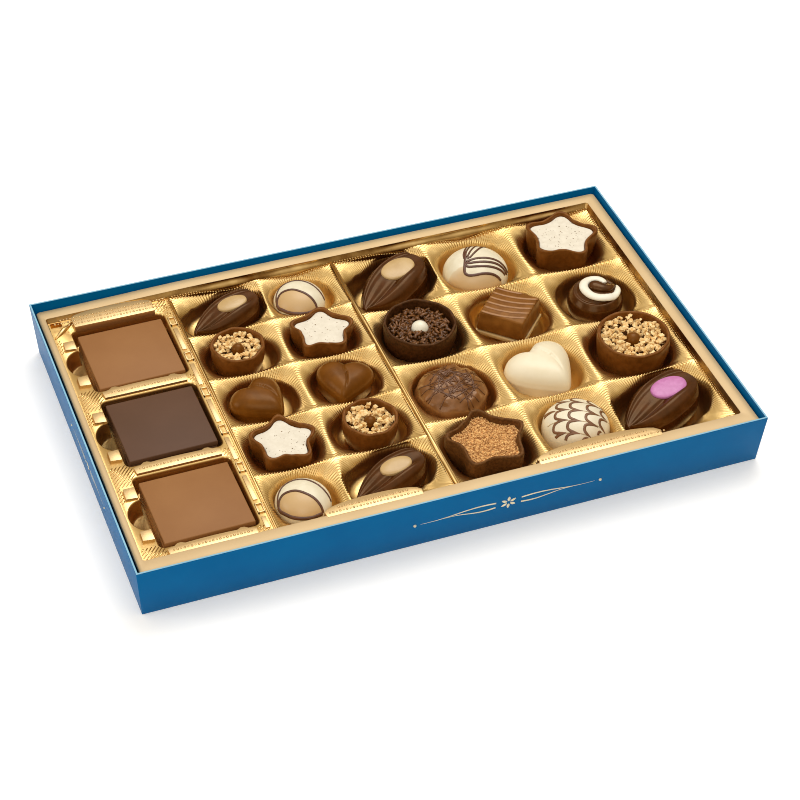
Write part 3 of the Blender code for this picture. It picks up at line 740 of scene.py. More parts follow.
def tablet_field():
    bm = bmesh.new()
    loop(bm, [(FIELD_LEFT, FIELD_FRONT), (-79.5, FIELD_FRONT), (-79.5, FIELD_BACK), (FIELD_LEFT, FIELD_BACK)], SHEET_Z)
    mouths = [loop(bm, well_mouth(y), SHEET_Z) for y in STACK_Y]
    x0, x1, y0, y1 = POCKET
    pocket = loop(bm, [(x0, y0), (x1, y0), (x1, y1), (x0, y1)], SHEET_Z)
    bmesh.ops.triangle_fill(bm, edges=bm.edges, use_beauty=True, normal=(0.0, 0.0, 1.0))
    for mouth in mouths:
        draw_down(bm, mouth, ((0.3, 21.15), (0.3, 20.6), (0.15, 19.0), (0.3, 15.5), (0.4, 13.2), (0.6, WELL_FLOOR)))
    draw_down(bm, pocket, ((0.1, 20.8), (0.2, 17.5)))
    upright(bm)
    return bm


show("tray_tablet_field", tablet_field(), GOLD, "gold_film", "tray", sharp=50)

# %% [markdown]
# The film is stiffened by raised pads: a label block behind the first well, a bar before each
# well, and square posts beside the finger gaps. Each is an outline that is filled, extruded up
# and bevelled. The label places carry only rows of small beads.

# %% Pads
BAR_Y, BAR_HALF, BAR_TOP = (24.4, -26.3, -76.8), 19.0, 22.5
NIBS = ((-121.7, -117.8), (-93.6, -90.4))
LABEL_TOP, TAB_TOP = 23.7, 24.65
POST_SPOTS = ((63.4, 57.5), (38.4, 31.9), (13.1, 6.3), (-12.4, -18.9), (-36.6, -43.4), (-62.8, -68.9))
STRIP_WINDOWS = ((65.0, 60.6), (39.3, 34.8), (14.0, 9.6), (-11.9, -16.3), (-36.7, -41.3), (-62.8, -67.2))


def slab(bm, outline, low, high, edge=0.2):
    """Raises an outline into a slab with a bevelled top edge."""
    edges = loop(bm, outline, low)
    lid = bmesh.ops.holes_fill(bm, edges=edges, sides=0)["faces"]
    raised = verts_of(bmesh.ops.extrude_face_region(bm, geom=lid)["geom"])
    bmesh.ops.translate(bm, vec=(0.0, 0.0, high - low), verts=raised)
    rim = [e for e in {e for v in raised for e in v.link_edges} if all(v in raised for v in e.verts)]
    bmesh.ops.bevel(bm, geom=rim, offset=edge, affect="EDGES", segments=2, profile=0.5, material=-1)


def arched(x, front, back, half, arch, nibs=()):
    """An outline with a straight front edge and an arched back edge, with square nibs on it."""
    points = [(x - half + 0.4, front), (x + half - 0.4, front)]
    for step in range(25):
        share = 1 - step / 12
        spot = x + half * share
        nib = any(a < spot < b for a, b in nibs)
        points.append((spot, back + arch * math.sqrt(max(0.0, 1 - share * share)) + (1.0 if nib else 0.0)))
    return points


def tray_pads():
    bm = bmesh.new()
    x = sum(WELL_X) / 2 - 0.1
    for y in BAR_Y:
        slab(bm, arched(x, y - 3.2, y + 0.6, BAR_HALF, 1.7, NIBS), 20.9, BAR_TOP)
    slab(bm, arched(x - 0.6, 70.8, 77.8, BAR_HALF, 3.4), 20.4, LABEL_TOP, edge=0.35)
    for tab_x, tab_y, half, arch in TABS:
        slab(bm, arched(tab_x, -82.4, tab_y - 0.2, half, arch), 20.5, TAB_TOP, edge=0.3)
    for back, front in POST_SPOTS:
        slab(bm, [(-133.2, front + 0.5), (-128.2, front), (-128.2, back), (-133.0, back)], 20.9, 22.5)
    for (back, front), (following, _) in zip(STRIP_WINDOWS, STRIP_WINDOWS[1:] + ((-80.0, 0),)):
        for x0, x1 in ((-83.9, -83.3), (-81.2, -80.7)):
            slab(bm, [(x0, front - 0.6), (x1, front - 0.6), (x1, back + 0.5), (x0, back + 0.5)], 21.0, 22.1, 0.15)
        for y0, y1 in ((back, back + 0.6), (front - 0.6, front)):
            slab(bm, [(-83.9, y0), (-80.7, y0), (-80.7, y1), (-83.9, y1)], 21.0, 22.1, 0.15)
        if front - following > 12 and front - 3.0 - (following + 3.0) > 6:
            slab(bm, [(-83.6, following + 3.0), (-81.6, following + 3.0), (-81.6, front - 3.0),
                      (-83.6, front - 3.0)], 21.0, 21.8, 0.2)
    bmesh.ops.recalc_face_normals(bm, faces=bm.faces)
    return bm


def tray_beads():
    """Rows of small beads where a maker would press a name."""
    bm = bmesh.new()
    rows = [(-106.2, y - 0.7, BAR_TOP, 9) for y in BAR_Y]
    rows += [(-106.6, 73.0, LABEL_TOP, 12), (-106.6, 75.2, LABEL_TOP, 15), (-106.6, 77.4, LABEL_TOP, 13)]
    rows += [(-37.5, -80.4, TAB_TOP, 11), (-37.5, -78.2, TAB_TOP, 8), (65.5, -80.2, TAB_TOP, 16),
             (65.5, -77.8, TAB_TOP, 12)]
    for x, y, z, half in rows:
        count = int(half / 0.8)
        for step in range(-count, count + 1):
            bead(bm, x + step * 1.5, y, z, 0.46 if step % 2 else 0.62)
    return bm


show("tray_pads", tray_pads(), PALE_GOLD, "gold_film", "tray", sharp=35)
show("tray_beads", tray_beads(), PALE_GOLD, "gold_film", "tray")

# %% [markdown]
# Between the wells the flat film would drum, so it is ribbed on the slant. A rib is a line across
# the sheet that keeps only its stretches on open film: each point is tested against the mouths
# of the wells and the pads, and every run of free points becomes a strand.

# %% Slanted ribs
RIB_PITCH, RIB_ANGLE, RIB_RADIUS = 1.3, 48.0, 0.36
RIB_ZONES = ((-135.5, -125.4, 29.0, 15.6), (-135.5, -125.4, -21.6, -34.6), (-135.5, -125.4, -71.8, -79.4),
             (-86.6, -81.2, 70.0, 66.6), (-86.6, -81.2, 25.4, 15.8), (-86.6, -81.2, -25.2, -35.2),
             (-87.2, -81.4, 78.6, 71.5), (-135.6, -133.5, 66.5, 56.5), (-135.6, -133.5, 15.4, 5.6),
             (-135.6, -133.5, -34.8, -44.4), (-86.6, -81.2, -74.5, -79.4))


def within(outline, x, y):
    """Tells whether a point lies inside a closed outline."""
    inside = False
    for (x0, y0), (x1, y1) in zip(outline, outline[1:] + outline[:1]):
        if (y0 > y) != (y1 > y) and x < x0 + (y - y0) * (x1 - x0) / (y1 - y0):
            inside = not inside
    return inside


def slanted_ribs():
    bm = bmesh.new()
    mouths = [well_mouth(y) for y in STACK_Y]
    pads = [arched(-106.2, y - 3.4, y + 0.8, BAR_HALF + 0.3, 1.7) for y in BAR_Y]
    pads.append(arched(-106.8, 70.4, 77.8, BAR_HALF + 0.3, 3.4))
    pads += [[(-133.5, front - 0.2), (-128.0, front - 0.2), (-128.0, back + 0.2), (-133.5, back + 0.2)]
             for back, front in POST_SPOTS]
    along = Vector((math.cos(math.radians(RIB_ANGLE)), math.sin(math.radians(RIB_ANGLE))))
    for left, right, back, front in RIB_ZONES:
        reach = (right - left) + (back - front)
        for number in range(int(-reach / RIB_PITCH), int(reach / RIB_PITCH) + 1):
            base = Vector(((left + right) / 2, (back + front) / 2)) + number * RIB_PITCH * Vector((-along.y, along.x))
            run = []
            for step in range(-60, 61):
                x, y = base + along * (step * 0.3)
                free = left < x < right and front < y < back and not any(within(o, x, y) for o in mouths + pads)
                if free:
                    run.append(Vector((x, y, SHEET_Z + 0.02)))
                if (not free or step == 60) and run:
                    if len(run) > 4:
                        strand(bm, [run[0], run[len(run) // 2], run[-1]], [0.2, RIB_RADIUS, 0.2], sides=6, flat=0.9)
                    run = []
    for number in range(int(158.0 / DASH_PITCH)):
        y = 78.4 - number * DASH_PITCH
        strand(bm, [Vector((-80.6, y, SHEET_Z)), Vector((-80.6, y - DASH, SHEET_Z))], 0.24, sides=6)
    strand(bm, [Vector((-135.4, 68.0, 21.2)), Vector((-130.5, 72.5, 21.9)), Vector((-125.6, 76.8, 21.4))],
           [0.5, 1.1, 0.6], sides=10, flat=0.9)
    bmesh.ops.recalc_face_normals(bm, faces=bm.faces)
    return bm


show("tray_ribs", slanted_ribs(), GOLD_SHEEN, "gold_film", "tray")

# %% [markdown]
# Thin pale lines and a small rosette decorate the front and left walls. The walls lean, so each
# point is first drawn on a flat wall, as a distance along it and a height, and then put in place.

# %% Ornament
def on_wall(side, along, height):
    """A point just off the front or left wall."""
    left, _, front, _ = SPLAY
    lean = height / span("box")[1].z
    if side == "front":
        return Vector((along, -FOOT[1] / 2 - front * lean - 0.03, height))
    return Vector((-FOOT[0] / 2 - left * lean - 0.03, along, height))


def ornament(bm, side, centre, height, reach, scale):
    """Two pairs of tapering lines that run out from a rosette of six petals."""
    facing = Vector((0.0, -1.0, 0.0)) if side == "front" else Vector((-1.0, 0.0, 0.0))
    for direction in (-1, 1):
        for rise, share in ((1.1, 1.0), (-1.1, 0.72)):
            path, radii = [], []
            for step in range(25):
                t = step / 24
                along = centre + direction * (4.5 * scale + share * reach * t)
                bow = rise * scale * (math.cos(math.pi * t / 2) + 0.35 * math.sin(2 * math.pi * t))
                path.append(on_wall(side, along, height + bow))
                radii.append(0.34 * scale * (1 - 0.85 * t))
            strand(bm, path, radii, sides=6, flat=0.2, ups=[facing] * len(path))
        bmesh.ops.create_icosphere(bm, subdivisions=2, radius=0.55 * scale, matrix=Matrix.Translation(
            on_wall(side, centre + direction * (6.5 * scale + reach), height)))
    for petal in range(6):
        turn = math.radians(60 * petal + 30)
        path = [on_wall(side, centre + scale * away * math.cos(turn), height + scale * away * math.sin(turn))
                for away in (0.7, 1.4, 2.1, 2.8)]
        strand(bm, path, [0.2 * scale, 0.55 * scale, 0.5 * scale, 0.15 * scale], sides=8, flat=0.2,
               ups=[facing] * 4)


def ornaments():
    bm = bmesh.new()
    ornament(bm, "front", 20.0, 13.5, 34.0, 1.3)
    ornament(bm, "left", -8.0, 13.0, 22.0, 0.8)
    bmesh.ops.recalc_face_normals(bm, faces=bm.faces)
    return bm


PRINT = finish("pale_print", (226, 214, 178), (236, 226, 194), drift=8.0, rough=0.4, relief=0.0)
show("card_ornament", ornaments(), PRINT, "blue_card")

# %% [markdown]
# Tablets are thin squares cast in a polished mould: flat faces, a narrow soft edge and a little
# draft. Each stack is three tablets, and every tablet is its own piece.

# %% Tablets
TABLET_EDGE = 0.45
TABLET_TURNS = {1: 0.4, 2: -0.5, 3: 0.6}
TABLET_SIDE, TABLET_DEPTH = 39.2, 38.0


def tablet(node, turn):
    low, high = span(node)
    x, y = middle(node)
    bm = bmesh.new()
    block(bm, -TABLET_SIDE / 2, TABLET_SIDE / 2, -TABLET_DEPTH / 2, TABLET_DEPTH / 2, low.z, high.z,
          edge=TABLET_EDGE, lean=0.1)
    return lay(bm, x, y, 0.0, turn)


for stack, satin, slot in ((1, MILK_SATIN, "milk_chocolate"), (2, DARK_SATIN, "dark_chocolate"),
                           (3, MILK_SATIN, "milk_chocolate")):
    for layer, turn in TABLET_TURNS.items():
        node = f"tablet_{stack}_{layer}"
        show(node + "_cast", tablet(node, turn), satin, slot, node, sharp=50)

# %% [markdown]
# A moulded sweet is a height over its outline: a foot, a steep side and a top whose shape a small
# function gives. The outline's points are carried inwards over the top, ring by ring, so creases
# and ridges stay sharp where the function has them.

# %% Moulded sweets
WALL_STEPS = ((0.9, 0.0), (0.955, 0.12), (0.985, 0.3), (1.0, 0.5), (1.0, 0.68), (0.99, 0.84), (0.975, 0.94))


def oval(half_x, half_y, power=2.0, steps=96):
    """An oval outline; a power above 2 squares it."""
    points = []
    for step in range(steps):
        turn = 2 * math.pi * step / steps
        c, s = math.cos(turn), math.sin(turn)
        reach = (abs(c) ** power + abs(s) ** power) ** (-1 / power)
        points.append((half_x * reach * c, half_y * reach * s))
    return points


def leaf(length, width, steps=128):
    """An oval with one pointed end on +x."""
    points = []
    for step in range(steps):
        turn = 2 * math.pi * step / steps
        pinch = 1 - 0.3 * math.cos(turn) ** 3 - 0.12 * math.cos(turn)
        points.append((length / 2 * math.cos(turn), width / 2 * math.sin(turn) * pinch))
    return points


def heart(length, width, steps=120):
    """A heart whose tip lies on +x: a drop with a shallow notch pressed into its round end."""
    points = []
    for step in range(steps):
        turn = 2 * math.pi * step / steps
        along = 0.5 * math.cos(turn) + 0.03 * math.cos(2 * turn)
        across = 0.5 * math.sin(turn) * (1 - 0.42 * math.cos(turn) - 0.1 * math.cos(2 * turn))
        notch = 0.13 * math.exp(-((turn - math.pi) / 0.3) ** 2)
        points.append((length * (along + notch - 0.02), width * across * 1.02))
    return points


def star(radius, swell=0.14, steps=160, sharpness=0.0):
    """Five soft tips, the first one on +x."""
    points = []
    for step in range(steps):
        turn = 2 * math.pi * step / steps
        wave = math.cos(5 * turn) + sharpness * math.cos(10 * turn)
        reach = radius * (1 + swell * wave)
        points.append((reach * math.cos(turn), reach * math.sin(turn)))
    return points


def moulded(outline, base, top_at, walls=WALL_STEPS, rows=18, shoulder=0.96, wobble=0.0, seed=0):
    """A closed sweet: walls from base up to the top's edge, then rows of rings over the top."""
    edge_z = [top_at(shoulder * x, shoulder * y) for x, y in outline]
    levels = []
    for share, rise in walls:
        levels.append([(share * x, share * y, mix(base, z, rise)) for (x, y), z in zip(outline, edge_z)])
    for row in range(rows):
        share = shoulder * math.cos(math.pi / 2 * row / rows) if row else shoulder
        levels.append([(share * x, share * y, top_at(share * x, share * y)) for x, y in outline])
    if wobble:
        levels = [[(x, y, z) if z < base + 0.5 else tuple(Vector((x, y, z)) + wobble * noise.noise_vector(
            Vector((x, y, z)) / 5.0 + Vector((seed, 0, 0)))) for x, y, z in level] for level in levels]
    bm = bmesh.new()
    rings(bm, levels)
    bmesh.ops.recalc_face_normals(bm, faces=bm.faces)
    return bm


def domed(half_x, half_y, waist, top, power=2.4):
    """The height of a round top over an oval."""
    def height(x, y):
        reach = min(1.0, math.hypot(x / half_x, y / half_y))
        return waist + (top - waist) * math.sqrt(max(0.0, 1 - reach ** power))
    return height


def surface(bm):
    """Finds the top of a mesh at a point, and the way it faces there."""
    tree = bvhtree.BVHTree.FromBMesh(bm)

    def at(x, y):
        spot, normal, _, _ = tree.ray_cast(Vector((x, y, 60.0)), Vector((0.0, 0.0, -1.0)))
        return (spot, normal) if spot else (None, None)
    return at


def smooth_path(points, steps=8):
    """A curve through points in the plan, by Catmull and Rom's rule."""
    ends = [points[0], *points, points[-1]]
    path = []
    for a, b, c, d in zip(ends, ends[1:], ends[2:], ends[3:]):
        for step in range(steps):
            t = step / steps
            path.append(tuple(0.5 * (2 * q + (r - p) * t + (2 * p - 5 * q + 4 * r - s) * t * t
                                     + (3 * q - p - 3 * r + s) * t ** 3) for p, q, r, s in zip(a, b, c, d)))
    path.append(points[-1])
    return path


def drape(bm, at, points, width, lift=0.12, flat=0.5, taper=0.0, sides=8, steps=8):
    """Lays a line of icing along a path on a sweet's top."""
    path, ups, radii = [], [], []
    curve = smooth_path(points, steps)
    for number, (x, y) in enumerate(curve):
        spot, normal = at(x, y)
        if spot is None:
            continue
        share = number / (len(curve) - 1)
        path.append(spot + normal * lift)
        ups.append(normal)
        radii.append(width / 2 * (1 - taper * smoothstep(0.6, 1.0, share)))
    if len(path) > 2:
        strand(bm, path, radii, sides=sides, flat=flat, ups=ups)


# %% [markdown]
# The small domes are white chocolate over a dark shell. Two brown arcs are piped on them and part a
# beige front from the white. The beige is an attribute on the points, so it follows the surface,
# and its border lies hidden under the inner arc.

# %% Small domes
def inside(point, polygon):
    """True if a point lies in a polygon."""
    x, y = point
    odd = False
    for (x0, y0), (x1, y1) in zip(polygon, polygon[1:] + polygon[:1]):
        if (y0 > y) != (y1 > y) and x < (x1 - x0) * (y - y0) / (y1 - y0) + x0:
            odd = not odd
    return odd


def tint(bm, share_at):
    """Writes the attribute that mixes a finish's second colour in."""
    layer = bm.verts.layers.float.get("tint") or bm.verts.layers.float.new("tint")
    for vert in bm.verts:
        vert[layer] = share_at(vert.co.x, vert.co.y, vert.co.z)


def two_tone(name, first, second, **facts):
    """A finish whose colour turns into a second one where the attribute says so."""
    material = finish(name, *first, **facts)
    nodes, links = material.node_tree.nodes, material.node_tree.links
    shader = nodes["Principled BSDF"]
    ramp = shader.inputs["Base Color"].links[0].from_socket
    tinted = nodes.new("ShaderNodeAttribute")
    tinted.attribute_name = "tint"
    blend = nodes.new("ShaderNodeMix")
    blend.data_type = "RGBA"
    blend.inputs["B"].default_value = linear(*second)
    links.new(tinted.outputs["Fac"], blend.inputs["Factor"])
    links.new(ramp, blend.inputs["A"])
    links.new(blend.outputs["Result"], shader.inputs["Base Color"])
    return material


CREAM = two_tone("cream_icing", ((226, 214, 184), (236, 226, 200)), (204, 168, 116), rough=0.36, relief=0.008)
OUTER_ARC = ((-11.4, -1.2), (-10.9, 1.0), (-9.5, 4.0), (-6.8, 6.9), (-3.4, 7.9), (0.2, 7.6), (3.7, 5.8),
             (7.1, 1.8), (9.6, -2.8), (10.5, -5.0))
INNER_ARC = ((-11.3, -1.7), (-10.5, 0.2), (-8.4, 1.6), (-5.4, 1.2), (-2.6, 0.0), (0.6, -3.0), (3.1, -6.0),
             (4.7, -8.9), (5.1, -10.5))
FRONT_ARC = ((-11.4, -1.6), (-10.8, -4.4), (-8.1, -8.4), (-4.3, -10.9), (0.2, -11.8), (4.6, -10.9))


def small_dome(node, number):
    low, high = span(node)
    x, y = middle(node)
    half_x, half_y = (high.x - low.x) / 2, (high.y - low.y) / 2
    bm = moulded(oval(half_x, half_y), low.z, domed(half_x, half_y, low.z + 4.7, high.z))
    at = surface(bm)
    zone = [*smooth_path(INNER_ARC), *reversed(smooth_path(FRONT_ARC))]
    tint(bm, lambda px, py, pz: 1.0 if pz > low.z + 5.0 and inside((px, py), zone) else 0.0)
    lines = bmesh.new()
    drape(lines, at, OUTER_ARC, 1.0)
    drape(lines, at, INNER_ARC, 1.2)
    drape(lines, at, FRONT_ARC, 1.7)
    bmesh.ops.recalc_face_normals(lines, faces=lines.faces)
    show(f"{node}_icing", lay(bm, x, y), CREAM, "white_chocolate", node)
    show(f"{node}_lines", lay(lines, x, y), LINE, "dark_chocolate")


for number in (1, 2):
    small_dome(f"mini_dome_{number}", number)

# %% [markdown]
# A leaf is a dark shell with an oval inlay. Its top slopes down to the tip, a sharp ridge runs along
# the back edge and a broad one along the front, with a groove behind it, and fine creases fan
# from the tip to the inlay.

# %% Leaves
def leaf_top(length, width, base, top):
    """The height of a leaf's carved top, tip on +x and front on +y."""
    def height(x, y):
        u = 2 * x / length
        pinch = 1 - 0.3 * max(-1, min(1, u)) ** 3 - 0.12 * u
        v = y / (width / 2 * max(0.15, pinch * math.sqrt(max(0.02, 1 - u * u))))
        z = top - 1.5 - (top - base) * 0.36 * smoothstep(-0.3, 1.05, u)
        z += 1.5 * math.exp(-((v - 0.52) / 0.2) ** 2) * smoothstep(-1.0, -0.4, u)
        z -= 0.8 * math.exp(-((v - 0.2) / 0.1) ** 2) * smoothstep(-0.7, -0.2, u)
        z += 0.7 * math.exp(-((v + 0.78) / 0.07) ** 2)
        z -= 0.35 * math.exp(-((v + 0.6) / 0.1) ** 2)
        fan = smoothstep(0.0, 0.4, u) * smoothstep(1.0, 0.7, u)
        z += 0.22 * fan * math.cos(2 * math.pi * v * 1.9) * math.exp(-((v + 0.25) / 0.35) ** 2)
        z -= 3.4 * smoothstep(0.7, 1.0, abs(v)) ** 1.4
        return z
    return height


def make_leaf(node, turn, inlay_finish, inlay_slot):
    low, high = span(node)
    x, y = PLACES[node]
    length, width = SIZES[node.split("_")[0]]
    height = leaf_top(length, width, low.z, high.z)
    bm = moulded(leaf(length, width), low.z, height, rows=34, shoulder=0.97)
    long_half, short_half, along, across, lean = INLAYS[node]
    at = surface(bm)
    seat, _ = at(along, across)
    inlay = moulded(oval(long_half, short_half, 2.2), seat.z - 1.4,
                    domed(long_half, short_half, seat.z + 0.3, seat.z + 1.3, 2.4), rows=12)
    lay(inlay, along, across, 0.0, lean)
    for vert in inlay.verts:
        vert.co.z -= 0.08 * (vert.co.x - along)
    show(node + "_shell", lay(bm, x, y, 0.0, turn), LEAF_DARK, "dark_chocolate", node)
    show(node + "_oval", lay(inlay, x, y, 0.0, turn), inlay_finish, inlay_slot, node + "_inlay")


LEAF_DARK = finish("leaf_dark", (62, 29, 4), (78, 39, 9), drift=5.0, rough=0.24, relief=0.008,
                   Specular_IOR_Level=0.38, Specular_Tint=WARM_GLOSS)
# Each inlay's half length and width, and its place and turn on its leaf.
INLAYS = {"mini_leaf_1": (7.2, 4.3, -5.2, -1.0, -14.0), "mini_leaf_2": (7.3, 4.4, -4.4, -1.0, -14.0),
          "leaf_1": (8.7, 6.0, -7.2, -1.4, -16.0), "leaf_2": (8.7, 5.7, -7.0, -1.0, -16.0)}
PLACES = {"mini_leaf_1": (-57.0, 64.2), "mini_leaf_2": (-23.5, -61.8), "leaf_1": (22.8, 59.6), "leaf_2": (105.3, -57.0)}
SIZES = {"mini": (36.4, 19.8), "leaf": (42.6, 24.4)}
for node, turn, inlay_finish, inlay_slot in (("mini_leaf_1", 204.0, BEIGE, "beige_inlay"),
                                             ("mini_leaf_2", 203.0, BEIGE, "beige_inlay"),
                                             ("leaf_1", 215.0, BEIGE, "beige_inlay"),
                                             ("leaf_2", 205.0, VIOLET, "violet_inlay")):
    make_leaf(node, turn, inlay_finish, inlay_slot)

# %% [markdown]
# A cup is a thin shell of chocolate, never quite round: its outline wanders a little and its rim
# dips. The outline is carried up the outside, over the rim and down the inside.

# %% Cups
def shell(outline, base, top, depth, wall=1.5, foot=0.8, bulge=0.03, rim_noise=0.25, side_noise=0.25, seed=1.0):
    """An open cup over an outline that is centred on the origin."""
    radius = sum(math.hypot(x, y) for x, y in outline) / len(outline)
    mouth = 1 - wall / radius
    steps = [(foot * 0.9, 0.0), (foot, 0.03), (mix(foot, 1, 0.4) + bulge, 0.3), (mix(foot, 1, 0.75) + bulge, 0.6),
             (1.0, 0.86), (1.0, 0.94), (0.995, 0.985)]
    rise = top - base
    profile = [(share, base + rise * height, 0) for share, height in steps]
    profile += [(mix(1.0, mouth, 0.35), top, 1), (mix(1.0, mouth, 0.7), top, 1), (mouth, top - 0.25, 1),
                (mouth * 0.99, top - 0.8, 1), (mouth * 0.975, top - depth * 0.5, 1), (mouth * 0.95, top - depth, 1)]
    levels = []
    for share, z, inner in profile:
        level = []
        for x, y in outline:
            aim = Vector((x, y, 0.0)).normalized()
            wander = side_noise * noise.noise(Vector((aim.x * 2.2, aim.y * 2.2, z * 0.12 + seed)))
            dip = rim_noise * noise.noise(Vector((aim.x * 2.5, aim.y * 2.5, seed + 7))) * smoothstep(0.5, 1.0, (z - base) / rise)
            level.append((x * share + aim.x * wander, y * share + aim.y * wander, z + dip - (0.02 if z >= top else 0.0)))
        levels.append(level)
    bm = bmesh.new()
    rings(bm, levels)
    ends = [edge for edge in bm.edges if edge.is_boundary]
    bmesh.ops.holes_fill(bm, edges=ends, sides=0)
    bmesh.ops.recalc_face_normals(bm, faces=bm.faces)
    return bm


def chunk(bm, rng, place, size, points=9, squash=0.8):
    """Adds an angular crumb of nut: the hull of a few points."""
    made = []
    for _ in range(points):
        aim = Vector([rng.gauss(0, 1) for _ in range(3)]).normalized() * size / 2 * rng.uniform(0.75, 1.1)
        made.append(bm.verts.new(Vector(place) + Vector((aim.x * rng.uniform(0.8, 1.2), aim.y, aim.z * squash))))
    bmesh.ops.convex_hull(bm, input=made)


def clean_loose(bm):
    loose = [vert for vert in bm.verts if not vert.link_faces]
    bmesh.ops.delete(bm, geom=loose, context="VERTS")


NUTS = finish("chopped_nuts", (232, 184, 110), (252, 226, 168), drift=1.8, rough=0.5, grain=0.5, relief=0.03)
CUP_MILK = finish("cup_milk", (102, 56, 14), (122, 72, 26), drift=2.5, rough=0.36, grain=0.8, relief=0.03,
                  Specular_IOR_Level=0.32, Specular_Tint=WARM_GLOSS)


NUT_GAP = 2.9


def nut_cup(name, ball_radius, seed):
    low, high = span(name + "_shell")
    x, y = middle(name + "_shell")
    radius = (high.x - low.x) / 2
    rng = random.Random(seed)
    bm = shell(oval(radius - 0.35, radius - 0.35), low.z, high.z, 2 * ball_radius + 1.0, foot=0.86, rim_noise=0.5,
               side_noise=0.5, wall=1.4, seed=seed)
    nuts = bmesh.new()
    inner = radius - 2.1
    count = 0
    for layer, drop in ((0, 4.6), (1, 3.3), (2, 2.2)):
        reach = inner - 0.7
        spots = []
        for _ in range(900):
            away, turn = reach * math.sqrt(rng.random()), rng.uniform(0, 2 * math.pi)
            spot = (away * math.cos(turn), away * math.sin(turn))
            if away < ball_radius + 0.5 + 0.4 * layer or any(math.dist(spot, other) < NUT_GAP for other in spots):
                continue
            spots.append(spot)
        for px, py in spots:
            size = rng.uniform(3.0, 4.2)
            for _ in range(3):
                ox, oy, oz = (rng.uniform(-0.3, 0.3) * size for _ in range(3))
                chunk(nuts, rng, (px + ox, py + oy, high.z - drop + oz), size * rng.uniform(0.6, 0.85), points=12)
            count += 1
    clean_loose(nuts)
    bmesh.ops.recalc_face_normals(nuts, faces=nuts.faces)
    ball = bmesh.new()
    bmesh.ops.create_uvsphere(ball, u_segments=40, v_segments=24, radius=ball_radius)
    show(name + "_cup", lay(bm, x, y), CUP_MILK, "milk_chocolate", name + "_shell")
    show(name + "_nuts", lay(nuts, x, y), NUTS, "chopped_nuts", name + "_bed", sharp=20)
    show(name + "_pearl", lay(ball, x, y, high.z - 0.5 - ball_radius), MILK, "milk_chocolate", name + "_ball")
    print(name, count, "chunks of nut")


nut_cup("mini_nut_cup_1", 2.9, 3)
nut_cup("mini_nut_cup_2", 2.9, 4)
nut_cup("nut_cup", 3.8, 5)

# %% [markdown]
# Star cups are the same shell over a star outline, with a smooth white filling in which a few
# specks of vanilla and small pits show.

# %% White stars
def star_cup(name, radius, turn, shell_finish, shell_slot, seed, side_noise=0.6):
    low, high = span(name + "_shell")
    x, y = PLACES[name]
    bm = shell(star(radius - 0.3, 0.15, sharpness=0.14), low.z, high.z, 5.0, seed=seed, side_noise=side_noise,
               rim_noise=0.9, foot=0.84)
    show(name + "_cup", lay(bm, x, y, 0.0, turn), shell_finish, shell_slot, name + "_shell")
    return x, y, high.z


def specks(rng, at, reach, count, top):
    """Small dark flakes that lie in the filling's top."""
    bm = bmesh.new()
    for _ in range(count):
        away, turn = reach * math.sqrt(rng.random()), rng.uniform(0, 2 * math.pi)
        spot, _ = at(away * math.cos(turn), away * math.sin(turn))
        if spot is not None and spot.z > top:
            chunk(bm, rng, (spot.x, spot.y, spot.z + 0.01), rng.choice((0.45, 0.55, 0.7, 1.0)), points=7, squash=0.3)
    clean_loose(bm)
    bmesh.ops.recalc_face_normals(bm, faces=bm.faces)
    return bm


SPECK = finish("vanilla_speck", (120, 92, 60), (168, 140, 104), drift=1.0, rough=0.6, relief=0.01)
FILLING = finish("white_filling", (222, 212, 192), (232, 223, 204), drift=3.0, rough=0.5, grain=0.8, relief=0.06)
PLACES.update({"mini_star_1": (-20.2, 34.2), "mini_star_2": (-60.1, -30.1), "white_star": (110.2, 61.2),
               "crumb_star": (22.0, -59.4)})


def white_star(name, radius, turn, seed):
    x, y, top = star_cup(name, radius, turn, CUP_MILK, "milk_chocolate", seed)
    rng = random.Random(seed)

    def height(px, py):
        return top - 1.5 + 0.12 * noise.noise(Vector((px * 0.3, py * 0.3, seed)))
    inner = (radius - 2.0)
    bm = moulded(star(inner, 0.15, sharpness=0.16), top - 4.6, height, rows=16)
    flakes = specks(rng, surface(bm), radius * 0.8, 40 if radius < 15 else 70, top - 1.9)
    show(name + "_cream", lay(bm, x, y, 0.0, turn), FILLING, "white_chocolate", name + "_filling")
    show(name + "_specks", lay(flakes, x, y, 0.0, turn), SPECK, "dark_chocolate")


white_star("mini_star_1", 13.2, 5.0, 11)
white_star("mini_star_2", 13.2, 10.0, 12)
white_star("white_star", 15.6, -5.0, 13)

# %% [markdown]
# The dark star holds a sandy filling. Its crumbs are small icospheres of twenty faces, packed over
# the filling's top, because that many crumbs need few faces each.

# %% Crumb star
CRUMB = finish("crumb_filling", (158, 98, 40), (248, 198, 126), drift=1.0, rough=0.7, grain=0.3, relief=0.03)
DARK_ROUGH = finish("dark_rough", (80, 46, 18), (108, 68, 32), drift=1.2, rough=0.5, grain=0.6, relief=0.12,
                    Specular_IOR_Level=0.3, Specular_Tint=WARM_GLOSS)


def crumbs(rng, outline, z, size, pitch):
    bm = bmesh.new()
    reach = max(math.hypot(px, py) for px, py in outline)
    steps = int(2 * reach / pitch)
    for row in range(steps):
        for column in range(steps):
            px = -reach + (column + rng.random()) * pitch
            py = -reach + (row + rng.random()) * pitch
            if inside((px, py), outline):
                scale = size * rng.uniform(0.7, 1.25)
                place = Matrix.Translation((px, py, z + rng.uniform(-0.18, 0.18)))
                bmesh.ops.create_icosphere(bm, subdivisions=1, radius=scale / 2,
                                           matrix=place @ turned(rng.uniform(0, 90)).to_4x4())
    return bm


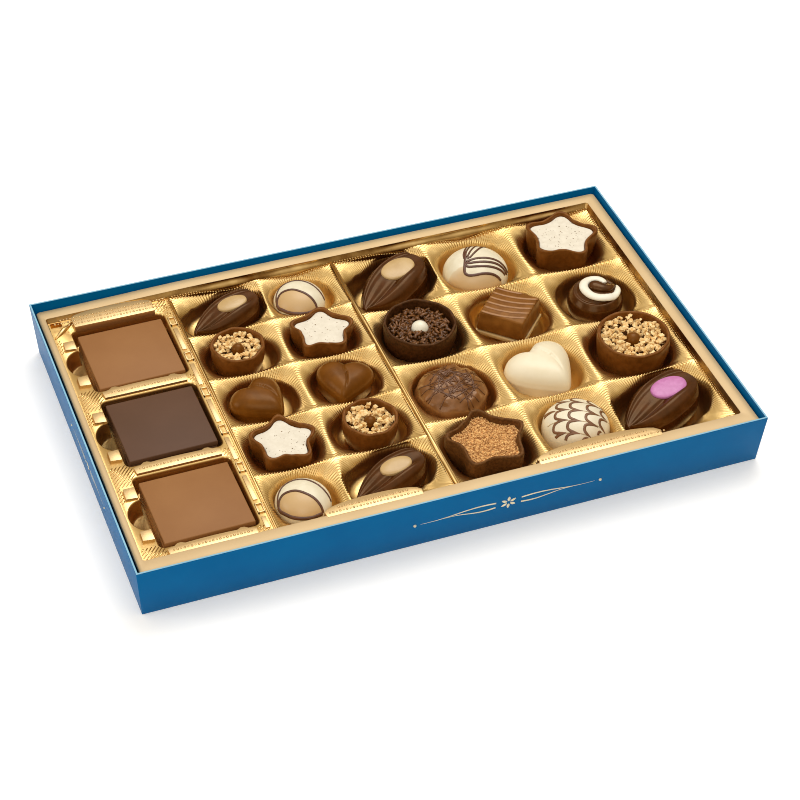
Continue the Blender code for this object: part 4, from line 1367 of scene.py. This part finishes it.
def crumb_star():
    name = "crumb_star"
    x, y, top = star_cup(name, 16.0, 14.0, DARK_ROUGH, "dark_chocolate", 14, side_noise=0.6)
    rng = random.Random(15)
    outline = star(14.1, 0.12, steps=80, sharpness=0.12)
    bed = moulded(outline, top - 4.6, lambda px, py: top - 3.1, rows=8)
    grains = crumbs(rng, outline, top - 2.95, 0.95, 0.72)
    show(name + "_bed", lay(bed, x, y, 0.0, 14.0), CRUMB, "crumb_filling", name + "_filling")
    show(name + "_crumbs", lay(grains, x, y, 0.0, 14.0), CRUMB, "crumb_filling")


crumb_star()

# %% [markdown]
# A heart is a soft pillow with a crease from its notch towards its tip. The height falls off with the
# distance to the outline, and the crease is a narrow dent along a curved line.

# %% Hearts
def heart_top(outline, base, top, depth, crease, soft=3.6):
    """The height of a heart's pillow over its outline; the crease is a curve in the plan."""
    edge_at = {}
    for x, y in outline:
        edge_at[round(math.degrees(math.atan2(y, x))) % 360] = math.hypot(x, y)
    known = sorted(edge_at)
    curve = smooth_path(crease, 6)

    def reach(aim):
        before = max((k for k in known if k <= aim), default=known[-1] - 360)
        after = min((k for k in known if k >= aim), default=known[0] + 360)
        share = (aim - before) / (after - before) if after > before else 0.0
        return mix(edge_at[before % 360], edge_at[after % 360], share)

    def height(x, y):
        share = min(1.0, math.hypot(x, y) / reach(math.degrees(math.atan2(y, x)) % 360))
        z = base + (top - base) * (1 - share ** soft) ** 0.6
        near, spot = min((math.hypot(x - px, y - py), number) for number, (px, py) in enumerate(curve))
        along = spot / (len(curve) - 1)
        side = 1.0 if y > curve[spot][1] else -1.0
        dent = math.exp(-(near / 0.55) ** 2) * (1 - smoothstep(0.75, 1.0, along))
        step = 0.5 * side * math.exp(-(near / 3.0) ** 2) * (1 - smoothstep(0.5, 1.0, along))
        return z - depth * dent + step * depth
    return height


def make_heart(node, place, turn, size, depth, crease):
    low, high = span(node)
    outline = heart(*size)
    points = [(size[0] * along, size[1] * across) for along, across in crease]
    height = heart_top(outline, low.z + 0.5 * (high.z - low.z), high.z, depth, points)
    bm = moulded(outline, low.z, height, rows=30, shoulder=0.975, walls=HEART_WALLS)
    return lay(bm, place[0], place[1], 0.0, turn)


# The foot flares, the side stands and a thin bead runs round under the pillow.
HEART_WALLS = ((0.9, 0.0), (0.94, 0.1), (0.965, 0.35), (0.985, 0.62), (1.0, 0.72), (1.005, 0.78), (0.99, 0.84))
IVORY = finish("ivory_chocolate", (234, 220, 188), (242, 230, 202), drift=14.0, rough=0.34, relief=0.006,
               Specular_IOR_Level=0.35)
for node, place, turn, size, depth, crease, material, slot in (
        ("mini_heart_1", (-60.0, 1.9), -62.0, (25.4, 22.0), 0.5,
         ((-0.3, 0.0), (-0.2, 0.06), (0.0, 0.16), (0.2, 0.17), (0.42, 0.07)), MILK, "milk_chocolate"),
        ("mini_heart_2", (-21.0, 2.0), -112.0, (25.4, 22.0), 0.5,
         ((-0.3, 0.0), (-0.15, -0.03), (0.05, 0.04), (0.25, 0.06), (0.42, 0.02)), MILK, "milk_chocolate"),
        ("white_heart", (66.3, -18.8), -70.0, (31.6, 28.0), 0.5,
         ((-0.33, 0.02), (-0.2, 0.1), (0.0, 0.14), (0.2, 0.1), (0.4, 0.03)), IVORY, "white_chocolate")):
    show(node + "_cast", make_heart(node, place, turn, size, depth, crease), material, slot, node)

# %% [markdown]
# The lined dome is white chocolate with milk lines piped across it: a fan of close lines to the back,
# a curved outline at the left and arcs that sweep to the right.

# %% Lined dome
LINED = {
    "outline": (1.1, ((-4.4, 3.0), (-5.5, 0.4), (-7.2, -3.3), (-8.4, -6.2), (-8.2, -7.8), (-6.8, -9.1), (-4.1, -10.0),
                      (-0.2, -10.5), (4.2, -11.3), (7.6, -12.4))),
    "middle": (1.1, ((-7.2, -3.3), (-5.8, -5.2), (-1.9, -6.5), (3.3, -7.7), (7.5, -8.7), (10.9, -9.6))),
    "between": (1.2, ((-6.6, -2.6), (-4.6, -3.4), (-1.2, -4.1), (4.0, -5.2), (8.8, -6.6), (12.2, -8.6))),
    "upper": (1.1, ((-5.7, -2.0), (-3.2, -1.7), (-0.2, -1.7), (4.9, -2.8), (9.6, -4.6), (13.2, -7.2))),
    "fan_1": (0.8, ((-5.9, 0.5), (-4.8, 4.0), (-1.4, 9.4), (1.0, 12.8))),
    "fan_2": (0.8, ((-5.2, 0.8), (-3.2, 4.9), (0.7, 9.8), (3.4, 12.8))),
    "fan_3": (0.8, ((-4.4, 0.6), (-1.4, 4.4), (2.9, 8.9), (5.8, 12.0))),
    "fan_4": (0.8, ((-3.4, -0.2), (0.6, 3.2), (4.9, 6.9), (8.4, 10.4))),
    "fan_5": (0.7, ((-4.8, -0.6), (-1.2, 1.6), (3.2, 5.0), (7.2, 8.4), (9.9, 9.6))),
}


def round_piece(node, name, outline, height, material, slot, zone=None, wobble=0.0, rows=20):
    low, high = span(node)
    x, y = middle(node)
    bm = moulded(outline, low.z, height, rows=rows, wobble=wobble, seed=x)
    at = surface(bm)
    if zone is not None:
        tint(bm, lambda px, py, pz: zone(px, py, pz))
    show(name, lay(bm, x, y), material, slot, node)
    return x, y, at


low, high = span("lined_dome")
front_zone = [*smooth_path(LINED["outline"][1][2:]), (14.0, -22.0), (-22.0, -22.0), (-16.0, -3.0)]
x, y, at = round_piece("lined_dome", "lined_dome_icing", oval(15.6, 15.0), domed(15.6, 15.0, low.z + 6.2, high.z), CREAM,
                       "white_chocolate", zone=lambda px, py, pz: 0.9 * smoothstep(0.0, -7.0, py) if inside((px, py), front_zone) else 0.0)
lines = bmesh.new()
for width, points in LINED.values():
    drape(lines, at, points, 1.2 * width, lift=0.1, flat=0.45)
bmesh.ops.recalc_face_normals(lines, faces=lines.faces)
show("lined_dome_lines", lay(lines, x, y), LINE, "dark_chocolate")

# %% [markdown]
# The feathered dome is made by piping brown lines on wet white icing and drawing a needle through
# them: each pull leaves a row of scallops. One scallop is laid out again and again over a slanted
# grid, and thin grey lines show where the needle went.

# %% Feathered dome
FEATHER_TURN = -29.0
PULLS = (12.0, 6.2, 0.1, -5.9, -11.2, -15.5)       # where a pin was drawn through the icing
COLUMNS = (-15.4, -9.4, -3.5, 3.9, 10.0)           # where each piped line bulges between two pulls
CURL = ((0.0, 0.0), (0.3, 0.22), (1.4, 0.37), (3.2, 0.45), (5.8, 0.5))     # along a pull, share of the gap
FEATHER = finish("feather_line", (108, 68, 36), (128, 84, 48), rough=0.4, relief=0.006)
PULLED = finish("pulled_line", (176, 150, 112), (192, 166, 128), rough=0.4, relief=0.004)


def feathers():
    low, high = span("feather_dome")
    half_x, half_y = 15.0, 14.8
    # The icing turns beige toward the front edge: painted shade, warmed by the gold well in front of it.
    x, y, at = round_piece("feather_dome", "feather_dome_icing", oval(half_x, half_y),
                           domed(half_x, half_y, low.z + 6.2, high.z), CREAM, "white_chocolate",
                           zone=lambda px, py, pz: 0.35 * smoothstep(-6.0, -14.0, py))
    lines, pulls = bmesh.new(), bmesh.new()
    turn = Matrix.Rotation(math.radians(FEATHER_TURN), 2)

    def on_top(points):
        spots = [tuple(turn @ Vector(point)) for point in points]
        return [(px, py) for px, py in spots if math.hypot(px / half_x, py / half_y) < 0.97]
    for upper, lower in zip(PULLS, PULLS[1:]):
        for column in COLUMNS:
            for side in (1, -1):
                points = on_top([(column + along, (upper + lower) / 2 + side * share * (upper - lower))
                                 for along, share in CURL])
                if len(points) > 2:
                    drape(lines, at, points, 1.3, lift=0.05, flat=0.3, taper=0.75, steps=5)
        points = on_top([(step * 2.0, lower + 0.1 * step) for step in range(-7, 8)])
        if len(points) > 1:
            drape(pulls, at, points, 0.5, lift=0.0, flat=0.35, steps=3)
    for bm in (lines, pulls):
        bmesh.ops.recalc_face_normals(bm, faces=bm.faces)
    show("feather_dome_lines", lay(lines, x, y), FEATHER, "dark_chocolate")
    show("feather_dome_pulls", lay(pulls, x, y), PULLED, "white_chocolate")


feathers()

# %% [markdown]
# The dark cup holds chocolate vermicelli, short bent strands that lie crosswise, with one cream
# pearl in the middle. A strand has six sides and four rings, so two hundred of them stay light.

# %% Vermicelli cup
PEARL = finish("cream_pearl", (236, 228, 204), (244, 238, 218), drift=3.0, rough=0.3, relief=0.004)
SHREDS = finish("vermicelli", (66, 36, 8), (128, 80, 34), drift=1.4, rough=0.36, relief=0.02)
DARK_RIM = finish("dark_cup", (52, 26, 8), (78, 44, 20), drift=1.5, rough=0.45, grain=0.7, relief=0.06,
                  Specular_IOR_Level=0.28, Specular_Tint=WARM_GLOSS)


def vermicelli_cup():
    name = "vermicelli_cup"
    low, high = span(name + "_shell")
    x, y = middle(name + "_shell")
    rng = random.Random(21)
    bm = shell(oval(16.6, 16.6), low.z, high.z, 8.0, wall=1.3, foot=0.86, seed=21.0, side_noise=0.6, rim_noise=0.8)
    shreds = bmesh.new()
    count = 0
    for drop, reach, number in ((5.0, 14.3, 90), (4.0, 14.2, 120), (3.1, 13.9, 120)):
        for _ in range(number):
            away, turn = reach * math.sqrt(rng.random()), rng.uniform(0, 2 * math.pi)
            if away < 4.4:
                continue
            spot = Vector((away * math.cos(turn), away * math.sin(turn), high.z - drop + rng.uniform(-0.5, 0.5)))
            heading, tilt, length = rng.uniform(0, 2 * math.pi), rng.uniform(-0.5, 0.5), rng.uniform(2.4, 4.6)
            aim = Vector((math.cos(heading) * math.cos(tilt), math.sin(heading) * math.cos(tilt), math.sin(tilt)))
            bend = Vector((-aim.y, aim.x, 0.0)) * rng.uniform(-0.5, 0.5)
            path = [spot + aim * length * (t - 0.5) + bend * math.sin(math.pi * t) for t in (0.0, 0.33, 0.67, 1.0)]
            path = [p for p in path if math.hypot(p.x, p.y) < 14.6]
            if len(path) > 2:
                strand(shreds, path, rng.uniform(0.5, 0.8), sides=6)
                count += 1
    bmesh.ops.recalc_face_normals(shreds, faces=shreds.faces)
    bed = moulded(oval(14.2, 14.2, steps=48), high.z - 7.5, lambda px, py: high.z - 5.4, rows=5)
    pearl = bmesh.new()
    bmesh.ops.create_uvsphere(pearl, u_segments=48, v_segments=28, radius=4.1)
    show(name + "_cup", lay(bm, x, y), DARK_RIM, "dark_chocolate", name + "_shell")
    show(name + "_floor", lay(bed, x, y), SHREDS, "dark_chocolate", name + "_bed")
    show(name + "_shreds", lay(shreds, x, y), SHREDS, "dark_chocolate")
    show(name + "_pearl", lay(pearl, x, y, high.z - 4.5), PEARL, "white_chocolate", name + "_ball")
    print(count, "strands of vermicelli")


vermicelli_cup()

# %% [markdown]
# The square piece is cut, not cast: a block with slightly leaning sides on a thin cream plate. Lighter
# stripes are drizzled over its top, all with the same soft sag.

# %% Striped block
BLOCK = finish("block_milk", (112, 66, 20), (134, 84, 32), drift=5.0, rough=0.34, relief=0.01,
               Specular_IOR_Level=0.3, Specular_Tint=WARM_GLOSS)
STRIPE = finish("drizzle", (152, 102, 54), (168, 118, 68), drift=4.0, rough=0.4, relief=0.01)


def striped_block():
    low, high = span("square_block")
    plate_low, plate_high = span("square_plate")
    x, y = middle("square_block")
    plate, body, stripes = bmesh.new(), bmesh.new(), bmesh.new()
    block(plate, -12.0, 12.0, -12.0, 12.0, plate_low.z, plate_high.z, edge=0.5)
    block(body, -11.6, 11.6, -11.6, 11.6, low.z, high.z, edge=0.8, lean=1.0)
    half = 10.3
    for number in range(-2, 4):
        start = 3.7 * number - 1.0
        path = []
        for step in range(17):
            t = 2 * step / 16 - 1
            px = start + 1.9 * t - 1.5 * (1 - t * t) + 0.8
            if abs(px) < half:
                path.append(Vector((px, -t * half, high.z + 0.02)))
        if len(path) > 3:
            strand(stripes, path, 0.72, sides=8, flat=0.4)
    bmesh.ops.recalc_face_normals(stripes, faces=stripes.faces)
    show("square_plate_cast", lay(plate, x, y, 0.0, 46.0), BEIGE, "beige_inlay", "square_plate", sharp=50)
    show("square_block_cast", lay(body, x, y, 0.0, 46.0), BLOCK, "milk_chocolate", "square_block", sharp=50)
    show("square_block_stripes", lay(stripes, x, y, 0.0, 46.0), STRIPE, "milk_chocolate")


striped_block()

# %% [markdown]
# The swirl is a dark drop with a ridge round its cap. A broad white band curls over the cap and
# ends in a point, and a dark bulb with a tail fills the middle of the curl.

# %% Swirl
GLOSSY = finish("glossy_dark", (62, 30, 6), (80, 42, 12), drift=4.0, rough=0.2, relief=0.006,
                Specular_IOR_Level=0.4, Specular_Tint=WARM_GLOSS)
BAND = ((5.4, 2.4), (5.2, 4.2), (3.6, 6.6), (0.2, 7.2), (-3.2, 5.8), (-5.2, 2.8), (-5.5, -0.8), (-4.2, -4.4), (-0.8, -6.9),
        (3.8, -7.3), (7.8, -5.4), (10.2, -2.2), (11.2, 1.2))
BAND_WIDTHS = (2.2, 3.2, 3.8, 4.0, 4.2, 4.3, 4.3, 4.2, 4.1, 3.9, 3.4, 2.5, 0.9)


def swirl_top(base, top):
    cap = domed(13.2, 13.2, base + 6.5, top - 0.4, 2.6)

    def height(x, y):
        away = math.hypot(x, y)
        return cap(x, y) + 0.55 * math.exp(-((away - 10.6) / 0.8) ** 2) - 0.5 * math.exp(-((away - 9.0) / 0.7) ** 2)
    return height


def swirl():
    low, high = span("swirl_body")
    _, ribbon_high = span("swirl_ribbon")
    x, y = middle("swirl_body")
    body = moulded(oval(13.0, 13.0), low.z, swirl_top(low.z, high.z), rows=26)
    at = surface(body)
    band, bulb = bmesh.new(), bmesh.new()
    curve = smooth_path([(*point, width) for point, width in zip(BAND, BAND_WIDTHS)], 6)
    path, radii, ups = [], [], []
    for px, py, width in curve:
        spot, normal = at(px, py)
        if spot is not None:
            path.append(Vector((px, py, spot.z + 0.5)))
            ups.append((normal + Vector((0, 0, 1))).normalized())
            radii.append(width / 2)
    strand(band, path, radii, sides=20, flat=0.55, ups=ups)
    tail = smooth_path([(0.2, 1.4, 3.3), (2.6, -0.7, 2.9), (5.2, -1.4, 2.3), (7.6, -0.1, 1.6), (9.6, 2.4, 0.8)], 8)
    path, radii = [], []
    for px, py, radius in tail:
        spot, _ = at(px, py)
        if spot is not None:
            path.append(Vector((px, py, spot.z + 0.3)))
            radii.append(radius)
    strand(bulb, path, radii, sides=16, flat=0.6)
    bmesh.ops.create_uvsphere(bulb, u_segments=32, v_segments=20, radius=3.3,
                              matrix=Matrix.Translation(path[0]) @ Matrix.Diagonal((1, 1, 0.6, 1)))
    for bm in (band, bulb):
        bmesh.ops.recalc_face_normals(bm, faces=bm.faces)
    show("swirl_drop", lay(body, x, y), GLOSSY, "dark_chocolate", "swirl_body")
    show("swirl_band", lay(band, x, y), WHITE, "white_chocolate", "swirl_ribbon")
    show("swirl_bulb", lay(bulb, x, y), GLOSSY, "dark_chocolate")


swirl()

# %% [markdown]
# The milk dome is dipped by hand, so it is lumpy, and fine dark threads are flicked across it. They
# run straight over the dome in every direction.

# %% Threaded dome
LUMPY = finish("dipped_milk", (114, 70, 32), (136, 88, 46), drift=5.0, rough=0.3, grain=2.5, relief=0.08,
               Specular_IOR_Level=0.6, Specular_Tint=(1.0, 0.85, 0.66, 1.0))
THREAD = finish("dark_thread", (92, 54, 22), (108, 66, 32), rough=0.36, relief=0.005)


def milk_dome():
    low, high = span("milk_dome")
    rng = random.Random(31)
    base_top = domed(16.2, 15.8, low.z + 6.5, high.z, 2.3)

    def height(px, py):
        return base_top(px, py) + 1.5 * noise.noise(Vector((px / 4.0, py / 4.0, 3.0))) - 0.3
    x, y, at = round_piece("milk_dome", "milk_dome_cast", oval(15.9, 15.5, power=2.1), height, LUMPY, "milk_chocolate",
                           wobble=0.9, rows=26)
    threads = bmesh.new()
    for _ in range(34):
        heading, offset = rng.uniform(0, math.pi), rng.uniform(-11, 11)
        bow = rng.uniform(-3, 3)
        aim = Vector((math.cos(heading), math.sin(heading)))
        side = Vector((-aim.y, aim.x))
        points = []
        for t in (-1.0, -0.5, 0.0, 0.5, 1.0):
            spot = aim * t * 14.6 + side * (offset * 0.8 + bow * (1 - t * t))
            if spot.length < 15.0:
                points.append(tuple(spot))
        if len(points) > 2:
            drape(threads, at, points, rng.uniform(0.4, 0.62), lift=0.1, flat=0.8, sides=6, steps=6)
    bmesh.ops.recalc_face_normals(threads, faces=threads.faces)
    show("milk_dome_threads", lay(threads, x, y), THREAD, "dark_chocolate")


milk_dome()

# %% [markdown]
# Last, the size of the finished model is printed.

# %% Finish
low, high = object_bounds()
print("model", [round(c / MM, 1) for c in high - low], "mm")
